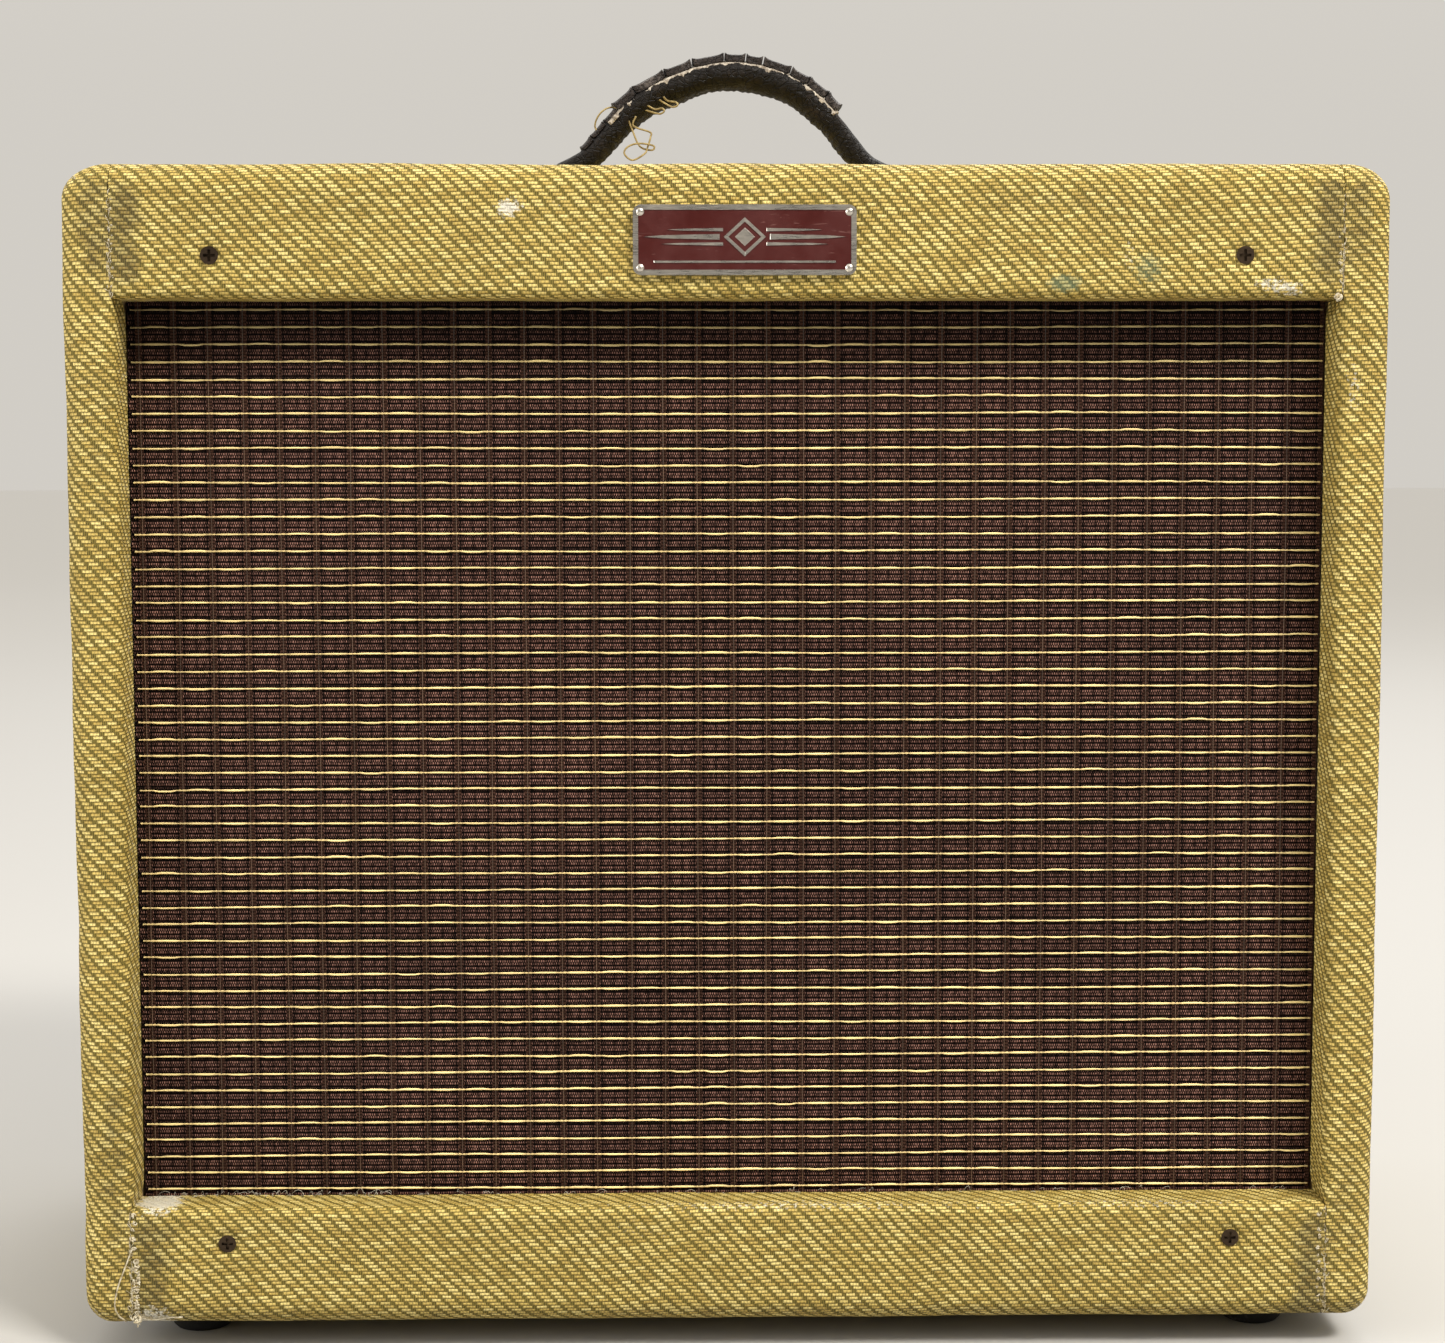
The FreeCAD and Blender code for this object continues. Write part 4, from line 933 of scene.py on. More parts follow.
def hand_strand(points, radius):
    line = smooth_line([(x, z) for x, _, z in points], 5)
    ys = np.interp(np.linspace(0, 1, len(line)), np.linspace(0, 1, len(points)), [y for _, y, _ in points])
    return np.stack([line[:, 0], ys, line[:, 1] + base], 1), radius


loose_end = hand_strand([
    (-210.2, front - 0.2, 29.0), (-213.2, front - 0.7, 21.2), (-215.6, front - 0.6, 14.8),
    (-216.8, front - 0.3, 8.6), (-215.8, front + 0.6, 4.6), (-213.5, front + 2.2, 1.8)], 0.28)
lower_edge = [hand_strand([
    (-208.6 + k * 0.3, front + 1.2, 3.6 + k * 0.5), (-204, front + 2.6, 2.3 + k * 0.6),
    (-199, front + 2.2, 3.0 + k * 0.4), (-193.5, front + 2.0, 3.2 + k * 0.2)], 0.2) for k in range(5)]
left_ends = beads(61, -209.6, base + 29, base + 43, 0.95, 0.95)
left_ends += beads(62, -209.0, base + 2, base + 25, 1.35, 1.0, 1.9)
left_ends += beads(63, -210.0, rail_low_z + 4, top - 10, 0.42, 0.75)
left_ends += beads(66, -203.5, base + 4, base + 9, 0.9, 0.9, 1.8)
right_ends = beads(64, 208.4, base + 4, base + 41, 0.75, 0.85)
right_ends += beads(65, 209.5, rail_low_z + 6, top - 12, 0.32, 0.4)
right_ends += beads(67, 209.6, rail_low_z + 6, rail_low_z + 17, 0.6, 0.8)
right_knot = knot_strands(3, (209.0, front - 0.1, base + 360.4), 1.5, 24)
fibres("seam_fray_left", seam_strands(7, -1) + left_ends + lower_edge + [loose_end], fray)
fibres("seam_fray_right", seam_strands(8, 1) + right_ends + right_knot, fray)
lint = fray_material("grille_lint", (0.34, 0.31, 0.25), (0.66, 0.62, 0.54))
fibres("grille_lint", lint_strands(), lint, slot="grille_cloth", sides=3)


# ---- badge ----
def prism(outlines, y_back, y_front):
    """Flat shapes in XZ raised from y_back to y_front, with a small bevel round their faces."""
    points, faces = [], []
    for outline in outlines:
        outline = np.array(outline, float)
        count, start = len(outline), len(points)
        out = outline - outline.mean(0)
        inner = outline.mean(0) + out * (1 - 0.12 / np.linalg.norm(out, axis=1)[:, None])
        for ring, y in ((outline, y_back), (outline, y_front + 0.08), (inner, y_front)):
            points += [(x, y, z) for x, z in ring]
        faces += tube_faces(3, count, start) + end_faces(3, count, start)[::-1]
    return points, faces


def metal_material(name, colour, roughness=0.25, scratch=0.25, tarnish=0.3, tarnish_colour=(0.25, 0.2, 0.14)):
    s = Shade(name, Metallic=1.0)
    where = s.coords()
    patches = s.noise(where, 60.0, 4.0, 0.65)
    lines = s.noise(s.stretch(where, 200.0, 2600.0, 2600.0), 1.0, 3.0)
    dull = s.span(patches, 0.45, 0.75)
    tone = s.mix(s.mul(dull, tarnish), colour, tarnish_colour)
    return s.finish(s.scale_colour(tone, s.linear(lines, 0.3, 0.85)),
                    s.add(s.linear(lines, scratch, roughness - scratch / 2), s.mul(dull, 0.2)),
                    s.add(lines, patches), 0.00005, 0.5)


nickel = metal_material("worn_nickel", (0.66, 0.62, 0.56), 0.28, 0.3, 0.5)
badge_low, badge_high = box_mm("badge_enamel")


def build_badge_ornament():
    """A plain lozenge with tapering bars each side and a thin line under them."""
    middle_x, middle_z = (badge_low[0] + badge_high[0]) / 2, (badge_low[2] + badge_high[2]) / 2
    face = badge_low[1]

    def lozenge(rx, rz):
        z = middle_z + 1
        return [(middle_x - rx, z), (middle_x, z - rz), (middle_x + rx, z), (middle_x, z + rz)]

    outer, inner = lozenge(7.2, 6.6), lozenge(5.6, 5.1)
    shapes = [[outer[k], outer[(k + 1) % 4], inner[(k + 1) % 4], inner[k]] for k in range(4)]
    shapes.append(lozenge(3.4, 3.1))
    for sign in (-1, 1):
        for rise, reach, thick in ((3.4, 19.0, 0.55), (1.0, 26.0, 0.95), (-1.4, 21.0, 0.55)):
            z, x0 = middle_z + rise, middle_x + sign * (8.6 + abs(rise - 1.0) * -0.5)
            waist, thin = x0 + sign * reach * 0.75, thick * 0.55
            outline = [(x0, z - thick), (waist, z - thin), (x0 + sign * reach, z), (waist, z + thin),
                       (x0, z + thick)]
            shapes.append(outline if sign > 0 else outline[::-1])
    left, right, low, high = middle_x - 31, middle_x + 31, middle_z - 7.75, middle_z - 7.05
    shapes.append([(left, low), (right, low), (right, high), (left, high)])
    points, faces = prism(shapes, face + 0.1, face - 0.22)
    add_piece("badge_ornament", points, faces, nickel, "nickel", smooth=False)


build_badge_ornament()

# ---- handle ----
tongue_end = -box_mm("handle_tongues")[0][0]
line_points = [
    (-tongue_end, 1.9), (-95, 1.9), (-86, 1.9), (-77, 2.1), (-69, 3.4), (-62.5, 5.5), (-57.5, 8.4),
    (-51.2, 13.2),
    (-44.2, 20.8), (-36.8, 28.4), (-29.5, 33.8), (-21.2, 38.0), (-10.5, 41.9), (1.0, 43.8), (12.3, 42.8),
    (22.4, 39.6), (31.9, 34.2), (39.4, 27.2), (45.6, 19.6), (50.6, 13.2), (56.0, 8.2), (61.5, 5.4), (68, 3.4),
    (77, 2.1), (86, 1.9), (95, 1.9), (tongue_end, 1.9),
]
handle_line = smooth_line(line_points, 9)
handle_run = np.concatenate([[0], np.cumsum(np.hypot(*np.diff(handle_line, axis=0).T))])
handle_tangent = np.gradient(handle_line, axis=0)
handle_tangent /= np.linalg.norm(handle_tangent, axis=1)[:, None]
handle_normal = np.stack([-handle_tangent[:, 1], handle_tangent[:, 0]], 1)


def along_handle(run):
    """Middle line (x, z above the top) and its normal at a distance along the handle."""
    point = np.stack([np.interp(run, handle_run, handle_line[:, i]) for i in (0, 1)], -1)
    normal = np.stack([np.interp(run, handle_run, handle_normal[:, i]) for i in (0, 1)], -1)
    return point, normal / np.linalg.norm(normal, axis=-1, keepdims=True)


def run_at(x):
    """Distance along the handle where its outer face is at x."""
    return np.interp(x, handle_line[:, 0] + handle_normal[:, 0] * 6.5, handle_run)


def grip_size(x):
    """Half thickness and half width of the handle at x."""
    places = (0, 20, 40, 52, 60, 66, 72, 80, 110)
    thick = np.interp(np.abs(x), places, (6.3, 6.2, 5.7, 4.9, 4.2, 3.2, 2.5, 1.9, 1.9))
    wide = np.interp(np.abs(x), places, (11.0, 10.8, 10.0, 9.2, 8.7, 8.8, 9.4, 10.0, 10.0))
    return thick, wide


def leather_material(name, dark, light, edge, scale=1.0):
    s = Shade(name, Specular_IOR_Level=0.25)
    where = s.coords()
    creases = s.cells(s.stretch(where, 1.0, 0.45, 1.0), 420.0 * scale, "DISTANCE_TO_EDGE")
    crack = s.span(creases, 0.0, 0.09)
    grain = s.noise(where, 1400.0, 3.0, 0.65)
    folds = s.noise(s.stretch(where, 0.35, 1.6, 1.0), 260.0, 4.0, 0.7, 1.2)
    worn = s.span(s.noise(where, 130.0, 4.0, 0.7), 0.52, 0.72)
    colour = s.mix(folds, dark, light)
    colour = s.mix(s.mul(worn, 0.55), colour, edge)
    height = s.add(s.mul(folds, 1.4), s.linear(crack, 0.5, s.mul(grain, 0.25)))
    return s.finish(s.scale_colour(colour, s.linear(crack, 0.6, 0.4)),
                    s.span(folds, 0.3, 0.7, 0.38, 0.7), height, 0.0007, 0.9)


leather_body = leather_material(
    "handle_leather", (0.0045, 0.003, 0.0025), (0.009, 0.006, 0.0045), (0.034, 0.023, 0.016))
leather_strap = leather_material(
    "strap_leather", (0.010, 0.007, 0.006), (0.038, 0.028, 0.025), (0.20, 0.17, 0.155), 1.4)
suede = fray_material("torn_suede", (0.15, 0.115, 0.085), (0.60, 0.54, 0.45))
loop_thread = fray_material("loop_thread", (0.26, 0.19, 0.08), (0.46, 0.36, 0.17))


def bend_with_handle(made):
    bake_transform(made)


def build_handle_body():
    length, near_end = handle_run[-1], np.array([0.05, 0.4, 1.2, 2.5])
    stations = np.concatenate([np.linspace(0, length, 190), near_end, length - near_end])
    stations = np.unique(np.round(stations, 3))
    middle, normal = along_handle(stations)
    thick, wide = grip_size(middle[:, 0])
    end = np.minimum(stations, length - stations)
    wide = np.where(end < 10, np.sqrt(np.clip(100 - (10 - end) ** 2, 0.02, None)), wide)
    thick = thick * np.clip(0.35 + end / 0.8, 0, 1)
    arch = smoothstep(62, 50, np.abs(middle[:, 0]))
    sides = 40
    points, along, ways = [], [], []
    for k in range(len(stations)):
        power = 2 / (4.5 - 2.2 * smoothstep(78, 58, abs(middle[k, 0])))
        for a in np.linspace(0, 2 * math.pi, sides, endpoint=False):
            c, s = math.cos(a), math.sin(a)
            w = math.copysign(abs(c) ** power, c) * wide[k]
            h = math.copysign(abs(s) ** power, s) * thick[k]
            if h > 0:
                h *= 1 - 0.42 * arch[k]
            x, z = middle[k] + normal[k] * h
            points.append((x, handle_y + w, top + z))
            way = np.array([normal[k, 0] * s, c, normal[k, 1] * s])
            ways.append(way / np.linalg.norm(way))
            along.append((stations[k], a))
    points, ways, along = np.array(points), np.array(ways), np.array(along)
    free = smoothstep(3, 9, points[:, 2] - top)
    bumps = 0.32 * waves(points, 51, 14) + 0.16 * waves(points, 52, 5)
    run, turn = along.T
    pleat = np.sin(run * 2 * math.pi / 3.1 + 1.4 * np.sin(turn * 2)) * np.clip(-np.sin(turn), 0, 1)
    points += ways * (free * (bumps + 0.22 * pleat))[:, None]
    rings = len(stations)
    faces = tube_faces(rings, sides, flip=True) + [face[::-1] for face in end_faces(rings, sides)]
    made = add_piece("handle_leather", points, faces, leather_body, "leather", None)
    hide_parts("handle_grip", "handle_core", "handle_tongues")
    bend_with_handle(made)


def strap_block(run0, run1, reach, lift, thick, curl, seed, wavy=0.0, columns=9, rows=9):
    """A cracked plate of the outer strap between two distances along the handle."""
    rng = np.random.default_rng(seed)
    upper, lower = [], []
    skew = rng.uniform(-0.5, 0.5)
    for i in range(rows):
        t = i / (rows - 1)
        for j in range(columns):
            q = 2 * j / (columns - 1) - 1
            run = run0 + (run1 - run0) * t + skew * q * (1 - abs(2 * t - 1)) * 0.4
            middle, normal = along_handle(run)
            half_thick, half_wide = grip_size(middle[0])
            tear = math.sin(run * 0.83 + seed) + 0.7 * math.sin(run * 1.97 + 1)
            tear += 0.5 * math.sin(run * 5.3 + 2)
            y = reach * q * (1 + wavy * tear)
            surface = half_thick * 0.58 * math.sqrt(max(0.05, 1 - (y / half_wide) ** 2))
            rise = curl * (abs(2 * t - 1) ** 4 * (0.55 + 0.45 * abs(q)) + 0.35 * abs(q) ** 5)
            for store, h in ((upper, thick + rise), (lower, rise * 0.8)):
                x, z = middle + normal * (surface + lift + h)
                store.append((x, handle_y + y, top + z))
    return upper, lower, rows, columns


def build_strap(name, spans, reach, lift, thick, curl, material, wavy=0.0, rows=9):
    points, faces = [], []
    for seed, (x0, x1) in enumerate(spans):
        upper, lower, r, c = strap_block(run_at(x0), run_at(x1), reach, lift, thick, curl, seed, wavy,
                                         rows=rows)
        start = len(points)
        points += upper + lower
        below = start + r * c
        faces += grid_faces(r, c, start, flip=True) + grid_faces(r, c, below)
        edge = [i * c for i in range(r)] + [(r - 1) * c + j for j in range(1, c)]
        edge += [i * c + c - 1 for i in range(r - 2, -1, -1)] + list(range(c - 2, 0, -1))
        for k in range(len(edge)):
            a, b = edge[k], edge[(k + 1) % len(edge)]
            faces.append((start + a, start + b, below + b, below + a))
    made = add_piece(name, points, faces, material, "leather", None)
    bm = bmesh.new()
    bm.from_mesh(made.data)
    bmesh.ops.recalc_face_normals(bm, faces=bm.faces)
    sharp = [e for e in bm.edges if len(e.link_faces) == 2 and e.calc_face_angle(0) > 0.9]
    bmesh.ops.bevel(bm, geom=sharp, offset=0.00022, segments=2, profile=0.6, affect="EDGES")
    bm.to_mesh(made.data)
    bm.free()
    made.data.polygons.foreach_set("use_smooth", [True] * len(made.data.polygons))
    bend_with_handle(made)


build_handle_body()
plates = [(-42.6, -35.3), (-34.9, -23.5), (-22.9, -13.1), (-12.3, -0.5), (0.0, 7.8), (8.2, 14.4),
          (14.9, 25.1), (25.6, 32.4), (32.7, 39.4), (39.8, 44.2)]
slivers = [(-56.0, -52.6), (-52.3, -47.6), (-47.2, -43.0)]
build_strap("handle_strap_slivers", slivers, 8.6, 0.25, 1.1, 0.5, leather_strap)
build_strap("handle_strap_plates", plates, 9.3, 0.35, 2.5, 1.0, leather_strap)
build_strap("handle_torn_layer", [(-47, 45)], 9.9, -0.52, 1.15, 0.0, suede, wavy=0.045, rows=150)


def loop_strand(points, radius=0.36, y=None, per_span=6):
    line = smooth_line(points, per_span)
    depth = np.linspace(0, 1, len(line))
    y = (handle_y - 9.0 if y is None else y) + 1.2 * np.sin(depth * 9.0)
    return np.stack([line[:, 0], y, line[:, 1] + base], 1), radius


loops = [
    loop_strand([
        (-33.2, 433.0), (-34.2, 429.5), (-28.1, 427.3), (-27.8, 425.5), (-28.9, 421.7), (-30.1, 419.1),
        (-34.6, 416.7), (-37.6, 419.1), (-36.1, 421.7), (-31.9, 422.9), (-26.7, 422.1), (-27.4, 420.6),
        (-31.9, 422.1), (-34.9, 428.8), (-36.0, 431.5)]),
    loop_strand([(-29.0, 437.0), (-26.2, 435.7), (-23.6, 435.9), (-22.6, 434.7), (-24.3, 433.8),
                 (-27.4, 434.7), (-30.5, 435.6)]),
    loop_strand([(-23.0, 440.2), (-21.3, 438.8), (-18.3, 438.2), (-17.7, 436.8), (-19.6, 436.3),
                 (-22.1, 437.7), (-25.0, 439.4)]),
    loop_strand([(-47.0, 426.5), (-48.6, 429.6), (-47.4, 433.0), (-44.7, 435.6), (-42.2, 436.6),
                 (-40.2, 436.2)], 0.34, handle_y - 7.5),
]
loose = fibres("handle_loose_thread", loops, loop_thread, body=None, slot="leather", sides=7)
bend_with_handle(loose)

# ---- finishes of the CAD nodes ----
def pine_material(name, grain_axis):
    s = Shade(name, Specular_IOR_Level=0.3)
    where = s.coords()
    along, across = 1.3, 26.0
    scale = tuple(along if axis == grain_axis else across for axis in "xyz")
    wander = s.noise(s.stretch(where, *[v * 0.35 for v in scale]), 1.0, 2.0)
    rings = s.noise(s.stretch(where, *scale), 1.0, 3.0, 0.5, 0.8)
    lines = s.ridge(s.mul(s.add(rings, s.mul(wander, 0.6)), 9.0))
    fibre = s.noise(s.stretch(where, *[v * 14 for v in scale]), 1.0, 3.0, 0.7)
    knots = s.span(s.cells(s.stretch(where, *[3.0 if v < 2 else 9.0 for v in scale]), 1.0), 0.03, 0.10)
    colour = s.ramp(lines, (0.0, (0.40, 0.21, 0.075)), (0.45, (0.60, 0.38, 0.17)), (1.0, (0.70, 0.49, 0.25)))
    colour = s.scale_colour(colour, s.linear(fibre, 0.5, 0.72))
    colour = s.mix(knots, (0.12, 0.05, 0.02), colour)
    grime = s.span(s.noise(where, 14.0, 3.0, 0.6), 0.5, 0.8)
    return s.finish(s.mix(s.mul(grime, 0.4), colour, (0.16, 0.10, 0.06)),
                    s.linear(fibre, 0.3, 0.5),
                    s.add(lines, s.mul(fibre, 0.7)), 0.0002, 0.6)


def painted_material(name, colour, chip, roughness=0.45, specks=260.0, level=0.5):
    """Paint, moulding or rubber with fine texture, dust and rubbed spots."""
    s = Shade(name, Specular_IOR_Level=level)
    where = s.coords()
    fine = s.noise(where, specks * 4, 3.0, 0.6)
    patches = s.noise(where, specks * 0.3, 4.0, 0.65)
    rubbed = s.span(s.add(patches, s.mul(fine, 0.25)), 0.66, 0.76)
    base_colour = s.scale_colour(s.mix(rubbed, colour, chip), s.linear(fine, 0.7, 0.65))
    dust = s.span(s.noise(where, specks * 0.12, 3.0, 0.6), 0.45, 0.8)
    return s.finish(s.mix(s.mul(dust, 0.22), base_colour, (0.30, 0.27, 0.22)),
                    s.add(s.linear(patches, 0.3, roughness - 0.15), s.mul(dust, 0.15)),
                    s.add(fine, s.mul(patches, 0.4)), 0.0001, 0.6)


def spangled_material(name, colour, scale=90.0, roughness=0.38):
    """Zinc plating: flat crystals of slightly different tone, with dull patches and fine scratches."""
    s = Shade(name, Metallic=1.0)
    where = s.coords()
    made = s.node("ShaderNodeTexVoronoi")
    s.put(made.inputs["Vector"], where)
    made.inputs["Scale"].default_value = scale
    tone = s.split(made.outputs["Color"])[0]
    patches = s.noise(where, 18.0, 4.0, 0.6)
    scratch = s.noise(s.stretch(where, 40.0, 900.0, 900.0), 1.0, 2.0)
    colour = s.mix(s.span(patches, 0.5, 0.8), colour, tuple(v * 0.62 for v in colour))
    return s.finish(s.scale_colour(colour, s.linear(tone, 0.22, 0.84)),
                    s.add(s.linear(tone, 0.14, roughness - 0.1), s.mul(scratch, 0.15)),
                    s.add(s.mul(tone, 0.5), scratch), 0.00005, 0.4)


def paper_material(name, colour, rib_pitch, rib_height):
    """Pressed pulp with rings about the loudspeaker's axis."""
    s = Shade(name, Specular_IOR_Level=0.25)
    where = s.coords()
    x, _, z = s.split(where)
    z = s.sub(z, speaker_z * 0.001)
    radius = s.math("SQRT", s.add(s.mul(x, x), s.mul(z, z)))
    rings = s.math("SINE", s.mul(radius, 2 * math.pi * 1000 / rib_pitch))
    pulp = s.noise(where, 500.0, 4.0, 0.75)
    blotch = s.noise(where, 30.0, 3.0, 0.6)
    tone = s.add(s.linear(pulp, 0.7, 0.55), s.linear(blotch, 0.5, -0.25))
    return s.finish(s.scale_colour(s.mix(s.span(pulp, 0.62, 0.75), colour, (0.30, 0.26, 0.2)), tone),
                    s.span(blotch, 0.3, 0.7, 0.65, 0.9),
                    s.add(s.mul(rings, rib_height), s.mul(pulp, 0.5)), 0.0004, 0.8)


def striped_material(name, light, dark, axis, pitch, roughness=0.5, metallic=0.0):
    """Thin layers or turns of wire, one every pitch millimetres along an axis."""
    s = Shade(name, Metallic=metallic)
    where = s.coords()
    place = s.split(where)["xyz".index(axis)]
    layers = s.ridge(s.mul(place, 1000.0 / pitch))
    lot = s.chance(s.math("FLOOR", s.mul(place, 1000.0 / pitch)))
    grime = s.noise(where, 90.0, 4.0, 0.6)
    colour = s.scale_colour(s.mix(layers, dark, light), s.linear(lot, 0.4, 0.75))
    return s.finish(s.mix(s.span(grime, 0.5, 0.8, 0.0, 0.5), colour, (0.09, 0.06, 0.04)),
                    s.linear(grime, 0.35, roughness - 0.15),
                    s.add(layers, s.mul(grime, 0.3)), 0.0002, 0.7)


def enamel_material(name, colour):
    s = Shade(name, Coat_Weight=0.25, Coat_Roughness=0.2, Specular_IOR_Level=0.4)
    where = s.coords()
    cloud = s.noise(where, 60.0, 4.0, 0.65)
    scratches = s.span(s.noise(s.stretch(where, 90.0, 90.0, 900.0), 1.0, 3.0, 0.7, 0.8), 0.64, 0.70)
    grain = s.noise(where, 2500.0, 2.0)
    tone = s.scale_colour(colour, s.linear(cloud, 0.7, 0.65))
    return s.finish(s.mix(s.mul(scratches, 0.35), tone, (0.30, 0.15, 0.13)),
                    s.span(cloud, 0.3, 0.7, 0.28, 0.5),
                    s.add(grain, s.mul(scratches, -0.5)), 0.00004, 0.5)


def clear_material(name, colour, roughness, weight, tint=0.0):
    s = Shade(name, Transmission_Weight=weight, IOR=1.5)
    where = s.coords()
    smear = s.noise(where, 120.0, 4.0, 0.6)
    return s.finish(s.mix(s.mul(smear, tint), colour, tuple(v * 0.5 for v in colour)),
                    s.linear(smear, roughness, roughness * 0.3),
                    s.noise(where, 900.0), 0.00003, 0.4)


speaker_low, speaker_high = box_mm("speaker_cone")
speaker_z = (speaker_low[2] + speaker_high[2]) / 2
zinc = spangled_material("zinc_plate", (0.60, 0.59, 0.55), 300.0)
bright_steel = metal_material("plated_steel", (0.52, 0.52, 0.50), 0.35, 0.3, 0.35)
black_oxide = metal_material("black_oxide", (0.075, 0.052, 0.034), 0.45, 0.3, 0.6, (0.010, 0.007, 0.005))
moulded_black = painted_material("moulded_black", (0.012, 0.012, 0.012), (0.035, 0.033, 0.03), 0.33)
pine_x, pine_z = pine_material("pine_lengthwise", "x"), pine_material("pine_upright", "z")
paper = paper_material("cone_pulp", (0.060, 0.052, 0.045), 4.2, 0.8)
finishes = {
    pine_z: ["cabinet_side_left", "cabinet_side_right"],
    pine_x: ["cabinet_top_board", "cabinet_bottom_board", "front_top_rail", "front_bottom_rail",
             "panel_cleats"],
    tweed_flat: ["upper_back_panel", "lower_back_panel"],
    painted_material("black_board", (0.016, 0.015, 0.014), (0.035, 0.030, 0.025), 0.7, 150.0):
        ["baffle_board"],
    black_oxide: ["baffle_screws", "speaker_screws"],
    nickel: ["badge_plate", "badge_pins", "panel_nuts", "power_toggle", "input_jack", "back_panel_screws",
             "handle_screws"],
    enamel_material("maroon_enamel", (0.060, 0.0055, 0.0040)): ["badge_enamel"],
    painted_material("foot_rubber", (0.020, 0.019, 0.018), (0.06, 0.055, 0.05), 0.8, 200.0, 0.2):
        ["rubber_feet"],
    zinc: ["cabinet_screws", "speaker_pole_plates"],
    painted_material("basket_paint", (0.022, 0.022, 0.024), (0.20, 0.19, 0.17), 0.4, 120.0):
        ["speaker_frame"],
    painted_material("gasket_cork", (0.070, 0.050, 0.034), (0.17, 0.12, 0.075), 0.9, 300.0, 0.15):
        ["speaker_gasket"],
    painted_material("ferrite_grey", (0.055, 0.055, 0.058), (0.12, 0.115, 0.11), 0.7, 150.0, 0.3):
        ["speaker_magnet"],
    paper: ["speaker_cone"],
    paper_material("surround_pulp", (0.035, 0.032, 0.030), 6.0, 1.5): ["speaker_surround"],
    paper_material("dust_cap_pulp", (0.085, 0.075, 0.062), 9.0, 0.1): ["dust_cap"],
    striped_material("coil_winding", (0.55, 0.26, 0.10), (0.20, 0.08, 0.03), "y", 0.4, 0.4, 0.8):
        ["voice_coil"],
    paper_material("spider_cloth", (0.42, 0.27, 0.10), 5.0, 2.0): ["speaker_spider"],
    painted_material("brown_fibre", (0.11, 0.055, 0.030), (0.20, 0.12, 0.07), 0.6): ["speaker_terminals"],
    spangled_material("chassis_plate", (0.58, 0.58, 0.56), 45.0, 0.42): ["chassis_pan"],
    metal_material("panel_chrome", (0.74, 0.74, 0.73), 0.10, 0.12, 0.25, (0.35, 0.32, 0.27)):
        ["control_panel"],
    painted_material("fibre_circuit", (0.34, 0.22, 0.09), (0.60, 0.56, 0.50), 0.55, 330.0): ["circuit_board"],
    bright_steel: ["control_bodies"],
    moulded_black: [node for node in nodes if node.startswith("knob_")] + ["boost_button"],
    clear_material("red_jewel", (0.62, 0.012, 0.008), 0.06, 0.55, 0.3): ["pilot_jewel"],
    clear_material("valve_glass", (0.93, 0.95, 0.94), 0.03, 0.97, 0.12): ["power_valves", "preamp_valves"],
    painted_material("cream_ceramic", (0.62, 0.57, 0.45), (0.40, 0.32, 0.22), 0.35, 200.0): ["valve_sockets"],
    striped_material("laminations", (0.050, 0.047, 0.044), (0.010, 0.009, 0.009), "y", 0.7, 0.45):
        ["power_transformer", "output_transformer"],
    painted_material("inlet_nylon", (0.018, 0.018, 0.018), (0.05, 0.05, 0.05), 0.5, 400.0): ["mains_inlet"],
    painted_material("jack_nylon", (0.022, 0.022, 0.023), (0.07, 0.07, 0.07), 0.45, 500.0):
        ["chassis_fittings"],
    spangled_material("tank_steel", (0.46, 0.46, 0.44), 28.0, 0.45): ["reverb_tank"],
}
for material, names in finishes.items():
    for name in names:
        for holder in nodes[name].material_slots:
            holder.link = "OBJECT"
            holder.material = material


# ---- printed panel and knob lines ----
def flat_shapes(name, outlines, z, material, body, slot, rise=0.06):
    """Thin raised print: outlines are (x, y) polygons in mm, anticlockwise from above."""
    points, faces = [], []
    for outline in outlines:
        start, count = len(points), len(outline)
        points += [(x, y, z) for x, y in outline] + [(x, y, z + rise) for x, y in outline]
        faces += end_faces(2, count, start)[1:] + tube_faces(2, count, start)
    add_piece(name, points, faces, material, slot, body, smooth=False)


def bar(centre, angle, near, far, half_width, taper=1.0):
    """A bar pointing out from a centre, between two radii."""
    way = np.array([math.cos(angle), math.sin(angle)])
    side = np.array([-way[1], way[0]]) * half_width
    a, b = np.array(centre) + way * near, np.array(centre) + way * far
    return [tuple(a - side), tuple(b - side * taper), tuple(b + side * taper), tuple(a + side)]


panel_top = panel_high[2]
shaft_from_back = 10.5  # from the round back of a pointer knob to its shaft
mark_count, turn_degrees = 12, 300
mark_near, mark_far, number_ring = 17.4, 19.4, 22.3
knob_places = {}
for node in nodes:
    if node.startswith("knob_"):
        low, high = box_mm(node)
        knob_places[node] = ((low[0] + high[0]) / 2, high[1] - shaft_from_back, high[2])
ink = painted_material("panel_ink", (0.012, 0.012, 0.013), (0.10, 0.10, 0.10), 0.5, 300.0)
white_fill = painted_material("knob_line_fill", (0.72, 0.70, 0.64), (0.40, 0.37, 0.32), 0.6, 500.0)


